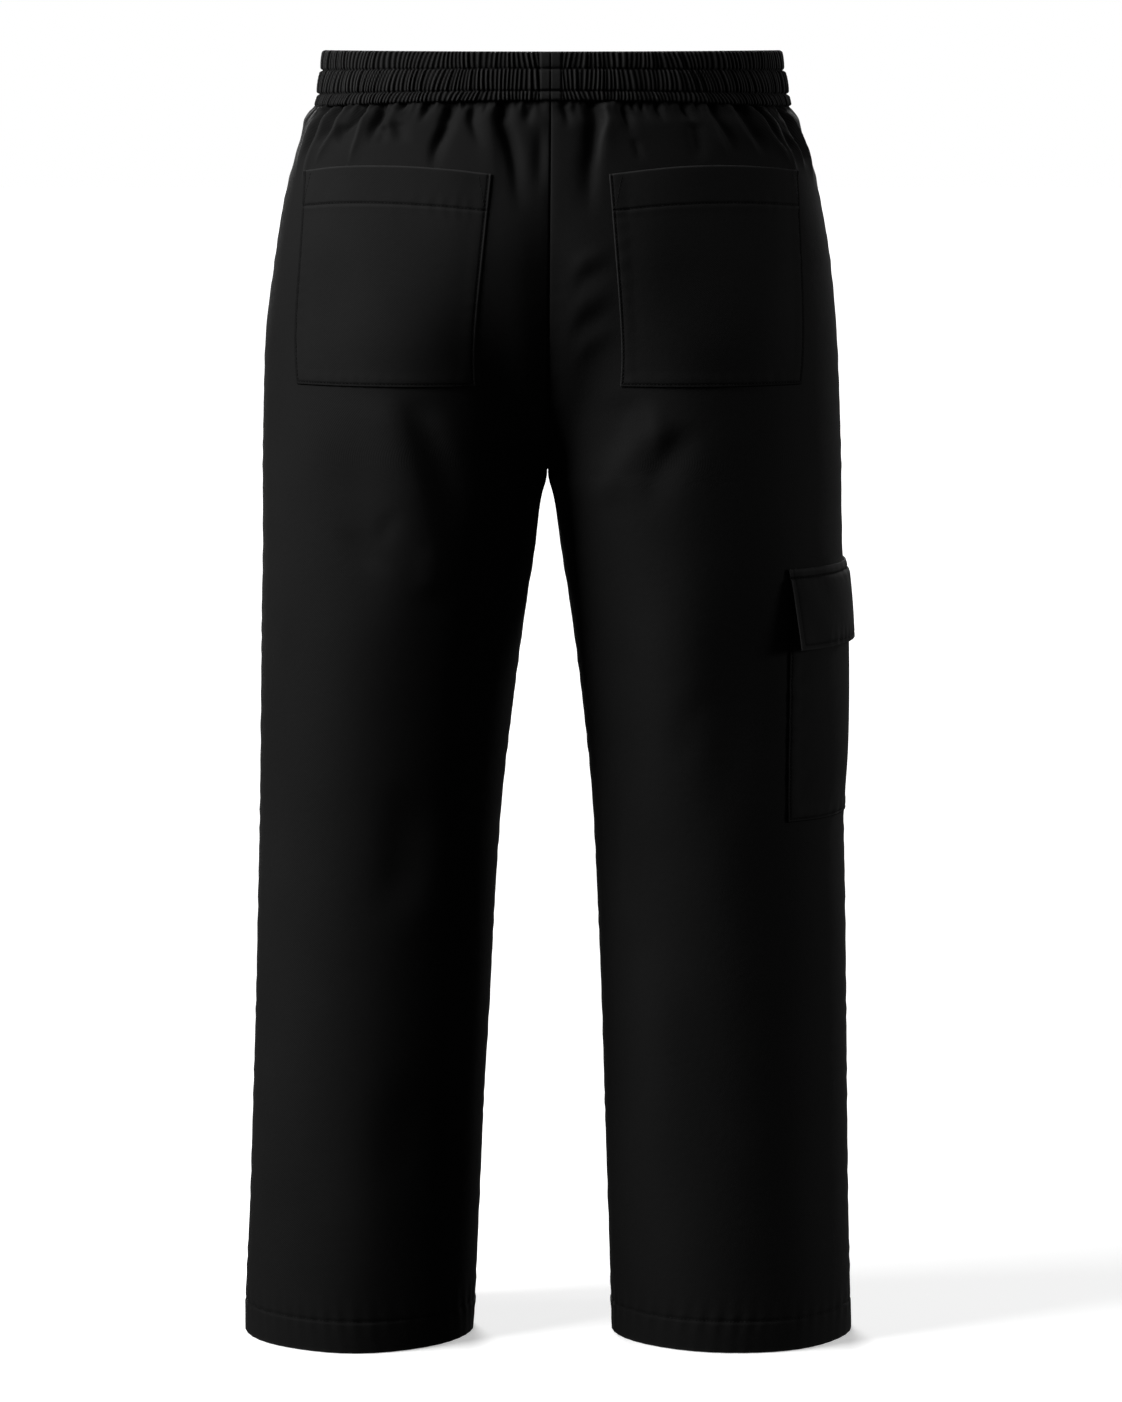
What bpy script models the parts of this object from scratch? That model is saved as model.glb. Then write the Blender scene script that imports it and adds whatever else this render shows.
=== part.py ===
"""Scrub trousers, filled out as if worn: a shirred elastic waistband, two front and two back panels,
two patch pockets on the seat and one cargo pocket with a flap on the wearer's right leg.

Metres, +Z up. The front faces -Y and the wearer's left is +X. The origin is the centre of the waistband
ring, half-way up the elastic. "down" is a distance below the origin. "turn" is an angle round one half of
the garment: 0 at the centre back, a quarter turn at the side seam, a half turn at the centre front.
"""

import math

import bpy
import numpy as np

for leftover in list(bpy.data.objects):
    bpy.data.objects.remove(leftover)

GARMENT = bpy.data.collections.new("scrub_trousers")
bpy.context.scene.collection.children.link(GARMENT)

QUARTER, HALF = math.pi / 2, math.pi
LEFT, RIGHT = 1, -1

# Cloth and seams.
CLOTH = 0.0015
SEAM_GAP = 0.0003
LAYER_GAP = 0.0009

# Levels below the origin.
WAIST_SEAM = 0.0182
LEG_FORMS_FROM, LEG_FORMED = 0.150, 0.520
CROTCH = 0.3166
HEM = 1.0372

# Back and front: from which level the centre seam curves in, the power of that curve, from which level
# the valley beside it forms, how far round it spreads, as a turn, and the much shorter way over which the
# cloth follows the seam itself.
SEAT_DIVIDES = (0.050, 0.130)
SEAM_POWER = (1.85, 2.0)
VALLEY_FORMS_FROM = (0.100, 0.185)
VALLEY_WIDTH = (0.58, 0.32)
BESIDE_SEAM = (0.20, 0.13)
VALLEY_FORMED = 0.355

# The waist seam rises from the side seams to the centre back, and drops to the centre front.
SEAM_RISE_BACK = 0.0055
SEAM_DROP_FRONT = 0.0080
SEAM_LEVELS_OUT = 0.100

# The crotch sits this far towards the wearer's left of the waist's centre.
CROTCH_SHIFT = 0.0029

# How square the trunk's section is: 2 is an ellipse.
TRUNK_SQUARENESS = 2.25

# Outline of each half, measured out from the centre seam, and the depth behind and before the side seam.
SECTION_COLUMNS = ("down", "outer_left", "outer_right", "inner_left", "inner_right", "back", "front")
SECTIONS = (
    (-0.024, 0.1865, 0.1865, 0.0000, 0.0000, 0.1220, 0.1220),
    (0.000, 0.1890, 0.1895, 0.0000, 0.0000, 0.1235, 0.1235),
    (0.021, 0.1940, 0.1945, 0.0000, 0.0000, 0.1265, 0.1260),
    (0.030, 0.2002, 0.2012, 0.0000, 0.0000, 0.1300, 0.1290),
    (0.046, 0.2054, 0.2078, 0.0000, 0.0000, 0.1335, 0.1315),
    (0.062, 0.2102, 0.2138, 0.0000, 0.0000, 0.1375, 0.1335),
    (0.095, 0.2183, 0.2217, 0.0000, 0.0000, 0.1460, 0.1370),
    (0.144, 0.2256, 0.2306, 0.0000, 0.0000, 0.1565, 0.1405),
    (0.209, 0.2327, 0.2374, 0.0000, 0.0000, 0.1640, 0.1440),
    (0.275, 0.2342, 0.2409, 0.0000, 0.0000, 0.1610, 0.1465),
    (0.3166, 0.2349, 0.2423, 0.0000, 0.0000, 0.1550, 0.1465),
    (0.341, 0.2350, 0.2425, 0.0054, 0.0054, 0.1505, 0.1440),
    (0.383, 0.2353, 0.2436, 0.0120, 0.0120, 0.1425, 0.1385),
    (0.424, 0.2364, 0.2444, 0.0186, 0.0186, 0.1345, 0.1330),
    (0.508, 0.2377, 0.2453, 0.0299, 0.0295, 0.1210, 0.1235),
    (0.592, 0.2391, 0.2460, 0.0395, 0.0378, 0.1130, 0.1165),
    (0.676, 0.2413, 0.2479, 0.0454, 0.0421, 0.1085, 0.1120),
    (0.760, 0.2435, 0.2493, 0.0497, 0.0455, 0.1055, 0.1085),
    (0.845, 0.2465, 0.2506, 0.0549, 0.0481, 0.1035, 0.1050),
    (0.930, 0.2496, 0.2520, 0.0583, 0.0507, 0.1015, 0.1020),
    (1.016, 0.2535, 0.2542, 0.0618, 0.0533, 0.1005, 0.0995),
    (1.0372, 0.2536, 0.2544, 0.0635, 0.0542, 0.1000, 0.0990),
)

# The largest gathers under the waistband, as soft troughs. "around" is measured from the centre seam at
# the waist seam, "lean" is how far the trough has moved towards the side by its end.
GATHER_COLUMNS = ("around", "lean", "reach", "width", "depth")
BACK_GATHERS = (
    (0.042, -0.014, 0.110, 0.011, 0.0060),
    (0.068, -0.006, 0.044, 0.010, 0.0045),
    (0.095, 0.006, 0.050, 0.012, 0.0050),
    (0.128, 0.008, 0.042, 0.012, 0.0050),
    (0.163, 0.012, 0.048, 0.012, 0.0050),
    (0.205, 0.022, 0.050, 0.013, 0.0045),
)
FRONT_GATHERS = (
    (0.040, -0.002, 0.095, 0.012, 0.0050),
    (0.079, 0.005, 0.060, 0.012, 0.0045),
    (0.121, 0.010, 0.085, 0.013, 0.0050),
    (0.160, 0.014, 0.055, 0.013, 0.0045),
    (0.203, 0.020, 0.070, 0.013, 0.0050),
)
GATHER_START = 0.020
GATHER_CLEAR_OF_SEAM = 0.06

# Waistband: its top edge above the origin at the side seams, its falls from there, and its channels from
# the top edge down, as shares of its height and how far each one swells.
BAND_TOP = 0.0276
BAND_FALL_BACK, BAND_FALL_FRONT = 0.0012, 0.0085
BAND_THICKNESS = 0.0045
CHANNEL_COLUMNS = ("share", "swell")
CHANNELS = (
    (0.38, 0.0030),
    (0.40, 0.0035),
    (0.22, 0.0022),
)
CHANNEL_SHOULDERS = (0.3, 0.7)
BAND_SEGMENTS = 48

# Seat pockets, on the back panels: distances from the centre back seam round the cloth.
POCKET_TOP, POCKET_BOTTOM = 0.073, 0.240
POCKET_MOUTH_RISE, POCKET_MOUTH_SLANT = 0.0048, 0.0032
POCKET_INNER_TOP, POCKET_INNER_BOTTOM = 0.0467, 0.0630
POCKET_OUTER_TOP, POCKET_OUTER_BOTTOM = 0.2215, 0.2230

# Cargo pocket and flap, on the wearer's right leg: distances round the cloth from the side seam.
CARGO_BEHIND, CARGO_NARROWS_BEHIND, CARGO_BEFORE = 0.122, 0.008, 0.077
CARGO_TOP, CARGO_BOTTOM = 0.397, 0.597
FLAP_TOP, FLAP_BOTTOM = 0.3888, 0.4540
FLAP_OVERHANG = 0.002
FLAP_NARROWS = 0.004
FLAP_STANDS_MIDDLE, FLAP_STANDS_END = 0.0050, 0.0110

# Grid of a panel: its rows, closest in the gathers and near the crotch, and its columns, with a narrow
# one at each seam.
PANEL_ROWS = (
    (WAIST_SEAM, 0.0285, 0.0390, 0.0525, POCKET_TOP, 0.0985)
    + (0.130, 0.178, 0.2115, POCKET_BOTTOM, 0.268, 0.294, 0.3105, CROTCH)
    + (0.345, CARGO_TOP, 0.490, CARGO_BOTTOM, 0.710, 0.825, 0.935, HEM)
)
PANEL_COLUMNS = 17
EDGE_COLUMN = 0.014
CLEAR_OF_ROW = 0.003
CLEAR_OF_COLUMN = 0.004

STEP = 1e-4
FINE_TURNS = 361


def column(rows, names, name):
    """One named column of a table, as an array."""
    return np.array([row[names.index(name)] for row in rows])


def flow(at, knots, values):
    """A smooth curve through a table's values: cubic spans whose slope at each value is the harmonic mean
    of the two straight slopes beside it, or level where they disagree, so that it never overshoots."""
    straight = np.diff(values) / np.diff(knots)
    slopes = np.concatenate([straight[:1], 0 * straight[1:], straight[-1:]])
    before, after = straight[:-1], straight[1:]
    agree = before * after > 0
    slopes[1:-1][agree] = 2 / (1 / before[agree] + 1 / after[agree])
    low = np.clip(np.searchsorted(knots, at) - 1, 0, len(knots) - 2)
    span = knots[low + 1] - knots[low]
    t = (at - knots[low]) / span
    rise = values[low] * (1 + 2 * t) * (1 - t) ** 2 + values[low + 1] * t * t * (3 - 2 * t)
    return rise + span * (slopes[low] * t * (1 - t) ** 2 - slopes[low + 1] * t * t * (1 - t))


def outline(name, down):
    """The value of one column of SECTIONS at any level."""
    return flow(down, column(SECTIONS, SECTION_COLUMNS, "down"), column(SECTIONS, SECTION_COLUMNS, name))


def ease(share):
    """0 up to 0, 1 from 1 on, and a smooth step between."""
    share = np.clip(share, 0.0, 1.0)
    return share * share * (3 - 2 * share)


def leg_share(down, turn):
    """How far each point has gone from the trunk's section to the leg's. Most of the section changes
    slowly, the valley at the centre changes sooner, and the centre seam itself curves in to the crotch
    as a quarter of an ellipse, or of a slightly fuller curve. Each fades out round the cloth as a bell
    curve."""
    at_back = turn <= QUARTER
    divides, power = np.where(at_back, *SEAT_DIVIDES), np.where(at_back, *SEAM_POWER)
    sine = np.clip((down - divides) / (CROTCH - divides), 0.0, 1.0)
    at_seam = 1.0 - (1.0 - sine**power) ** (1.0 / power)
    forms_from = np.where(at_back, *VALLEY_FORMS_FROM)
    in_valley = ease((down - forms_from) / (VALLEY_FORMED - forms_from))
    elsewhere = ease((down - LEG_FORMS_FROM) / (LEG_FORMED - LEG_FORMS_FROM))
    from_seam = np.minimum(turn, HALF - turn)
    valley = np.exp(-((from_seam / np.where(at_back, *VALLEY_WIDTH)) ** 2))
    beside = np.exp(-((from_seam / np.where(at_back, *BESIDE_SEAM)) ** 2))
    return elsewhere + (in_valley - elsewhere) * valley + (at_seam - in_valley) * beside


def plain_points(side, down, turn):
    """Points of one half without folds. The trunk's half section is a superellipse and the leg's section
    an ellipse, both run through by the same turn, and they are mixed by leg_share."""
    name = "left" if side == LEFT else "right"
    outer, inner = outline("outer_" + name, down), outline("inner_" + name, down)
    depth = np.where(turn <= QUARTER, outline("back", down), outline("front", down))
    across, along = np.sin(turn), np.cos(turn)
    power = 2.0 / TRUNK_SQUARENESS
    trunk_x = outer * np.abs(across) ** power
    trunk_y = depth * np.sign(along) * np.abs(along) ** power
    leg_x = (outer + inner) / 2 - (outer - inner) / 2 * np.cos(2 * turn)
    leg_y = depth * np.sin(2 * turn)
    mixed = leg_share(down, turn)
    x = trunk_x + mixed * (leg_x - trunk_x)
    y = trunk_y + mixed * (leg_y - trunk_y)
    shift = CROTCH_SHIFT * ease(down / CROTCH)
    return np.stack([side * x + shift, y, -down + 0 * x], axis=-1)


def outward(side, down, turn):
    """Unit normals of the plain surface, pointing out of the garment."""
    before, after = np.clip(turn - STEP, 0, HALF), np.clip(turn + STEP, 0, HALF)
    around = plain_points(side, down, after) - plain_points(side, down, before)
    downwards = plain_points(side, down + STEP, turn) - plain_points(side, down - STEP, turn)
    normal = side * np.cross(around, downwards)
    return normal / np.linalg.norm(normal, axis=-1, keepdims=True)


def waist_tilt(turn, at_back, at_front):
    """A height that is nothing at the side seams and grows as a squared cosine to the centres."""
    along = np.cos(turn)
    return np.where(along > 0, at_back, at_front) * along**2


def seam_level(turn):
    """How far down the waist seam lies at each turn."""
    return WAIST_SEAM + waist_tilt(turn, -SEAM_RISE_BACK, SEAM_DROP_FRONT)


def turns_along(side, down, start, distances):
    """The turns that lie these distances round the cloth from the turn "start", at one level."""
    fine = np.linspace(0, HALF, FINE_TURNS)
    points = plain_points(side, np.full(FINE_TURNS, down), fine)
    length = np.concatenate([[0], np.cumsum(np.linalg.norm(np.diff(points, axis=0), axis=1))])
    return np.interp(np.interp(start, fine, length) + distances, length, fine)


def half_girth(side, down, back):
    """The length round the cloth from the centre seam or inseam to the side seam."""
    first, last = (0, QUARTER) if back else (QUARTER, HALF)
    points = plain_points(side, np.full(FINE_TURNS, down), np.linspace(first, last, FINE_TURNS))
    return np.linalg.norm(np.diff(points, axis=0), axis=1).sum()


def gathers(side, down, turn, back):
    """How far the gathers sink the cloth: soft troughs with round sections, which start just below the
    waist seam and fade out by their reach. They leave the seams alone."""
    level = down - seam_level(turn)
    girth = half_girth(side, WAIST_SEAM, back)
    share = turn / QUARTER if back else (HALF - turn) / QUARTER
    around = share * girth
    sunk = np.zeros_like(turn)
    for row in BACK_GATHERS if back else FRONT_GATHERS:
        place, lean, reach, width, depth = (row[GATHER_COLUMNS.index(name)] for name in GATHER_COLUMNS)
        middle = place + lean * np.clip(level / reach, 0, 1)
        fade = ease(level / GATHER_START) * (1 - ease(level / reach))
        sunk += depth * fade * np.exp(-(((around - middle) / width) ** 2))
    at_seams = ease(share / GATHER_CLEAR_OF_SEAM) * ease((1 - share) / GATHER_CLEAR_OF_SEAM)
    return sunk * at_seams


def grid_mesh(name, points, turned):
    """An open mesh from a grid of points, with two triangles in each cell, cut from its first corner to
    its last. "turned" flips them so that they look outwards."""
    rows, columns = points.shape[:2]
    index = np.arange(rows * columns).reshape(rows, columns)
    first, last = index[:-1, :-1], index[1:, 1:]
    below = np.stack([first, index[1:, :-1], last], axis=-1).reshape(-1, 3)
    above = np.stack([first, last, index[:-1, 1:]], axis=-1).reshape(-1, 3)
    faces = np.concatenate([below, above])
    if turned:
        faces = faces[:, ::-1]
    mesh = bpy.data.meshes.new(name)
    mesh.from_pydata(points.reshape(-1, 3).tolist(), [], faces.tolist())
    return mesh


def add_part(name, mesh, material):
    """A named object for a mesh, in the garment's collection."""
    mesh.shade_smooth()
    part = bpy.data.objects.new(name, mesh)
    part.data.materials.append(material)
    GARMENT.objects.link(part)
    return part


def add_cloth(name, points, turned, material, thickens=-1.0):
    """A cloth wall: an open grid, thickened inwards, or outwards where thickens is 1."""
    part = add_part(name, grid_mesh(name, points, turned), material)
    wall = part.modifiers.new("wall", "SOLIDIFY")
    wall.thickness = CLOTH
    wall.offset = thickens
    return part


def panel_shares():
    """The columns of a panel: even, with one narrow column beside each seam."""
    return np.concatenate([[0.0], np.linspace(EDGE_COLUMN, 1 - EDGE_COLUMN, PANEL_COLUMNS + 1), [1.0]])


def panel_grid(side, back):
    """The cloth of one panel, from the waist seam to the hem: its rows' levels, its columns' shares of
    the way from the centre seam to the side seam, its points and its outward normals. It stops half a
    seam gap short of the centre seam, side seam and inseam."""
    levels, shares = np.array(PANEL_ROWS), panel_shares()
    points = []
    for level in levels:
        start, way = (0.0, 1) if back else (HALF, -1)
        turn = turns_along(side, level, start, way * half_girth(side, level, back) * shares)
        tilt = 1 - ease((level - WAIST_SEAM) / SEAM_LEVELS_OUT)
        down = level + (seam_level(turn) - WAIST_SEAM) * tilt + SEAM_GAP * (level == WAIST_SEAM)
        sunk = gathers(side, down, turn, back)[:, None]
        points.append(plain_points(side, down, turn) - outward(side, down, turn) * sunk)
    facing = 1 if back else -1
    points = np.array(points) + np.array([side, facing, 0]) * SEAM_GAP / 2
    normals = -side * facing * np.cross(np.gradient(points, axis=0), np.gradient(points, axis=1))
    normals /= np.linalg.norm(normals, axis=-1, keepdims=True)
    return levels, shares, points, normals


def on_panel(panel, level, share, lift):
    """Points on a panel's own triangles, moved out along the blend of its normals."""
    levels, shares, points, normals = panel
    row = np.clip(np.searchsorted(levels, level) - 1, 0, len(levels) - 2)
    col = np.clip(np.searchsorted(shares, share) - 1, 0, len(shares) - 2)
    lower = ((level - levels[row]) / (levels[row + 1] - levels[row]))[..., None]
    further = ((share - shares[col]) / (shares[col + 1] - shares[col]))[..., None]

    def blend(values):
        first, last = values[row, col], values[row + 1, col + 1]
        other = np.where(further > lower, values[row, col + 1], values[row + 1, col])
        least, most = np.minimum(further, lower), np.maximum(further, lower)
        return first * (1 - most) + other * (most - least) + last * least

    return blend(points) + blend(normals) * lift[..., None]


def patch_levels(top, bottom):
    """The rows of a patch: its two edges, and the panel's own rows between them."""
    levels = np.array(PANEL_ROWS)
    inside = levels[(levels > top + CLEAR_OF_ROW) & (levels < bottom - CLEAR_OF_ROW)]
    return np.concatenate([[top], inside, [bottom]])


def patch_shares(first, last):
    """The columns of a patch, one row of them for each of its levels: its two edges, which may slant, and
    the panel's own columns between them. Columns that an edge crosses turn to run beside the edge."""
    shares = panel_shares()
    inside = shares[(shares > first.min() + CLEAR_OF_COLUMN) & (shares < last.max() - CLEAR_OF_COLUMN)]
    clear = CLEAR_OF_COLUMN * np.arange(1, len(inside) + 1)
    rows = []
    for low, high in zip(first, last):
        rows.append(np.concatenate([[low], np.clip(inside, low + clear, high - clear[::-1]), [high]]))
    return np.array(rows)


def band_points(side, down, turn, lift):
    """Points of the waistband, which stands upright on the waist's outline and moves out from it."""
    facing = outward(side, np.full_like(down, WAIST_SEAM), turn)
    facing[..., 2] = 0
    facing /= np.linalg.norm(facing, axis=-1, keepdims=True)
    return plain_points(side, down, turn) + facing * lift[..., None]


def band_section():
    """The waistband's section, as shares of its height from the top and distances out: an outer face that
    swells in each channel and is drawn in at each stitch row, a flat foot, and a plain inner face."""
    edges = np.concatenate([[0], np.cumsum(column(CHANNELS, CHANNEL_COLUMNS, "share"))])
    swells = column(CHANNELS, CHANNEL_COLUMNS, "swell")
    shares, lifts = [0.0], [0.0]
    for top, bottom, swell in zip(edges[:-1], edges[1:], swells):
        for part_way in CHANNEL_SHOULDERS:
            shares.append(top + part_way * (bottom - top))
            lifts.append(swell)
        shares.append(bottom)
        lifts.append(0.0)
    inner = [1.0, 0.5, 0.0]
    return np.array(shares + inner), np.array(lifts + [-BAND_THICKNESS] * len(inner))


def make_waistband(material):
    """The waistband: one closed ring, its section carried round the waist."""
    shares, lifts = band_section()
    rings = []
    for angle in np.linspace(0, 2 * HALF, BAND_SEGMENTS, endpoint=False):
        side, turn = (LEFT, angle) if angle <= HALF else (RIGHT, 2 * HALF - angle)
        top = waist_tilt(turn, BAND_FALL_BACK, BAND_FALL_FRONT) - BAND_TOP
        down = top + shares * (seam_level(turn) - top)
        rings.append(band_points(side, down, np.full_like(down, turn), lifts))
    rings = np.array(rings)
    index = np.arange(rings.shape[0] * rings.shape[1]).reshape(rings.shape[:2])
    after = np.roll(index, -1, axis=0)
    faces = np.stack([index, after, np.roll(after, -1, axis=1), np.roll(index, -1, axis=1)], axis=-1)
    mesh = bpy.data.meshes.new("waistband")
    mesh.from_pydata(rings.reshape(-1, 3).tolist(), [], faces.reshape(-1, 4).tolist())
    return add_part("waistband", mesh, material)


def make_seat_pocket(name, side, panel, material):
    """A patch pocket on one back panel. Its mouth is arched, and its sides slant away from the centre."""
    levels = patch_levels(POCKET_TOP, POCKET_BOTTOM)
    girths = np.array([half_girth(side, level, True) for level in levels])
    part_way = (levels - POCKET_TOP) / (POCKET_BOTTOM - POCKET_TOP)
    inner = POCKET_INNER_TOP + part_way * (POCKET_INNER_BOTTOM - POCKET_INNER_TOP)
    outer = POCKET_OUTER_TOP + part_way * (POCKET_OUTER_BOTTOM - POCKET_OUTER_TOP)
    shares = patch_shares(inner / girths, outer / girths)
    across = (shares - shares[:, :1]) / (shares[:, -1:] - shares[:, :1])
    raised = POCKET_MOUTH_RISE * np.sin(HALF * across) + POCKET_MOUTH_SLANT * across
    level = levels[:, None] - raised * (part_way == 0)[:, None]
    points = on_panel(panel, level, shares, np.full(level.shape, LAYER_GAP))
    return add_cloth(name, points, side == LEFT, material, 1.0)


def leg_patch(panels, top, bottom, behind, before, lifts):
    """A patch laid across the right leg's side seam: columns of the back panel, then of the front one.
    "behind" and "before" are its edges at each level, and "lifts" says how far it stands off."""
    levels = patch_levels(top, bottom)
    part_way = (levels - top) / (bottom - top)
    halves = []
    for back, edge in ((True, behind(part_way)), (False, before(part_way))):
        girths = np.array([half_girth(RIGHT, level, back) for level in levels])
        shares = patch_shares(1 - edge / girths, np.ones(len(levels)))
        lift = lifts(part_way[:, None], (1 - shares) * (girths / edge)[:, None])
        points = on_panel(panels[back], levels[:, None] + 0 * shares, shares, lift)
        halves.append(points if back else points[:, -2::-1])
    return np.concatenate(halves, axis=1)


def make_cargo_pocket(panels, material):
    """A large patch pocket across the side seam."""
    points = leg_patch(
        panels,
        CARGO_TOP,
        CARGO_BOTTOM,
        lambda part_way: CARGO_BEHIND - CARGO_NARROWS_BEHIND * part_way,
        lambda part_way: CARGO_BEFORE + 0 * part_way,
        lambda part_way, around: LAYER_GAP + 0 * (part_way + around),
    )
    return add_cloth("cargo_pocket", points, False, material, 1.0)


def make_cargo_flap(panels, material):
    """The flap, sewn on above the pocket. It is stiffer and flatter than the leg, so its free edge stands
    off, and its lower corners stand off most. Its top edge lies on the leg, just above the pocket."""

    def inset(part_way):
        return FLAP_OVERHANG - part_way * FLAP_NARROWS

    def lifts(part_way, around):
        stands = FLAP_STANDS_MIDDLE + (FLAP_STANDS_END - FLAP_STANDS_MIDDLE) * around**2
        over_pocket = np.where(part_way > 0, LAYER_GAP + CLOTH, 0)
        return LAYER_GAP + over_pocket + stands * part_way

    points = leg_patch(
        panels,
        FLAP_TOP,
        FLAP_BOTTOM,
        lambda part_way: CARGO_BEHIND - CARGO_NARROWS_BEHIND * part_way / 4 + inset(part_way),
        lambda part_way: CARGO_BEFORE + inset(part_way),
        lifts,
    )
    return add_cloth("cargo_flap", points, False, material, 1.0)


def black_twill(name, shade):
    """Matt black work cloth."""
    material = bpy.data.materials.new(name)
    material.use_nodes = True
    surface = material.node_tree.nodes["Principled BSDF"]
    surface.inputs["Base Color"].default_value = (shade, shade, shade * 1.05, 1.0)
    surface.inputs["Roughness"].default_value = 0.85
    surface.inputs["Metallic"].default_value = 0.0
    return material


make_waistband(black_twill("band_twill", 0.012))
for side_name, side_sign in (("left", LEFT), ("right", RIGHT)):
    sheets = {back: panel_grid(side_sign, back) for back in (True, False)}
    for back, panel_name in ((True, "back_"), (False, "front_")):
        material = black_twill(panel_name + "twill_" + side_name, 0.010)
        turned = (side_sign == LEFT) == back
        add_cloth(panel_name + side_name, sheets[back][2], turned, material)
    pocket_material = black_twill("pocket_twill_" + side_name, 0.011)
    make_seat_pocket("seat_pocket_" + side_name, side_sign, sheets[True], pocket_material)
    if side_sign == RIGHT:
        make_cargo_pocket(sheets, black_twill("cargo_twill", 0.011))
        make_cargo_flap(sheets, black_twill("flap_twill", 0.012))
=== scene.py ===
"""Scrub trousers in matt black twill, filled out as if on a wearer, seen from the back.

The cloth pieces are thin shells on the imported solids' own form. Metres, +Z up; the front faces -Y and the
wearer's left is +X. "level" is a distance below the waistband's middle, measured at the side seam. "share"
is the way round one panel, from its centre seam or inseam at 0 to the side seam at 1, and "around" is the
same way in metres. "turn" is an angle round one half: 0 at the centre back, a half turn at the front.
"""

import math
from functools import partial

import bpy
import numpy as np
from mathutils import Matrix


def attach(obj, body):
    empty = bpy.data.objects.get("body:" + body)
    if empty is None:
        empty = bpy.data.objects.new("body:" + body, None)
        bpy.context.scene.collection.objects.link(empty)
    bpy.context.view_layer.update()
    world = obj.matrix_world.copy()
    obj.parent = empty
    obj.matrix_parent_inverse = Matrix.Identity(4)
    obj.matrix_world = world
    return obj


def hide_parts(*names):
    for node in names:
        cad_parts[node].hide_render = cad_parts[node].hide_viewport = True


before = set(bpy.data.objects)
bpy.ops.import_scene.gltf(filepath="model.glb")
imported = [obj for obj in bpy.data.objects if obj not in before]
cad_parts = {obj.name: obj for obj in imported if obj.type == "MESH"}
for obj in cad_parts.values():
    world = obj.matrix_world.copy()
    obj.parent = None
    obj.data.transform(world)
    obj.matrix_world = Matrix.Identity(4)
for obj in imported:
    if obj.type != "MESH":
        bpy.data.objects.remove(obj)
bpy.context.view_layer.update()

QUARTER, HALF, FULL = math.pi / 2, math.pi, 2 * math.pi
MM = 0.001
LEFT, RIGHT = 1, -1
SIDES = ((LEFT, "left"), (RIGHT, "right"))

# The photograph's camera, from which its pixels are traced back to the cloth.
PICTURE = (1122, 1402)
FOCAL = 5460.9
SENSOR = 36.0
CAMERA_AT = np.array([-0.0082, 4.5, 0.022])
PITCH = math.radians(6.726)

# Form, as the solids have it.
WAIST_SEAM = 0.0182
LEG_FORMS_FROM, LEG_FORMED = 0.150, 0.520
CROTCH = 0.3166
HEM = 1.0372
SEAT_DIVIDES = (0.050, 0.130)
SEAM_POWER = (1.85, 2.0)
VALLEY_FORMS_FROM = (0.100, 0.185)
VALLEY_WIDTH = (0.58, 0.32)
BESIDE_SEAM = (0.20, 0.13)
VALLEY_FORMED = 0.355
SEAM_RISE_BACK = 0.0055
SEAM_DROP_FRONT = 0.0080
SEAM_LEVELS_OUT = 0.100
CROTCH_SHIFT = 0.0029
TRUNK_SQUARENESS = 2.25
BAND_TOP = 0.0276
BAND_FALL_BACK, BAND_FALL_FRONT = 0.0012, 0.0085
STEP = 1e-4
WAY_LEVELS, WAY_TURNS, WAY_SHARES = 260, 241, 201
TRACE_ROUNDS = 14

# The outline, in millimetres, level by level.
SECTION_COLUMNS = ("down", "outer_left", "outer_right", "inner_left", "inner_right", "back", "front")
SECTIONS = MM * np.array(
    (
        (-24, 186.5, 186.5, 0, 0, 122, 122),
        (0, 189, 189.5, 0, 0, 123.5, 123.5),
        (21, 194, 194.5, 0, 0, 126.5, 126),
        (30, 200.2, 201.2, 0, 0, 130, 129),
        (46, 205.4, 207.8, 0, 0, 133.5, 131.5),
        (62, 210.2, 213.8, 0, 0, 137.5, 133.5),
        (95, 218.3, 221.7, 0, 0, 146, 137),
        (144, 225.6, 230.6, 0, 0, 156.5, 140.5),
        (209, 232.7, 237.4, 0, 0, 164, 144),
        (275, 234.2, 240.9, 0, 0, 161, 146.5),
        (316.6, 234.9, 242.3, 0, 0, 155, 146.5),
        (341, 235, 242.5, 5.4, 5.4, 150.5, 144),
        (383, 235.3, 243.6, 12, 12, 142.5, 138.5),
        (424, 236.4, 244.4, 18.6, 18.6, 134.5, 133),
        (508, 237.7, 245.3, 29.9, 29.5, 121, 123.5),
        (592, 239.1, 246, 39.5, 37.8, 113, 116.5),
        (676, 241.3, 247.9, 45.4, 42.1, 108.5, 112),
        (760, 243.5, 249.3, 49.7, 45.5, 105.5, 108.5),
        (845, 246.5, 250.6, 54.9, 48.1, 103.5, 105),
        (930, 249.6, 252, 58.3, 50.7, 101.5, 102),
        (1016, 253.5, 254.2, 61.8, 53.3, 100.5, 99.5),
        (1037.2, 253.6, 254.4, 63.5, 54.2, 100, 99),
    )
)

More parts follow.
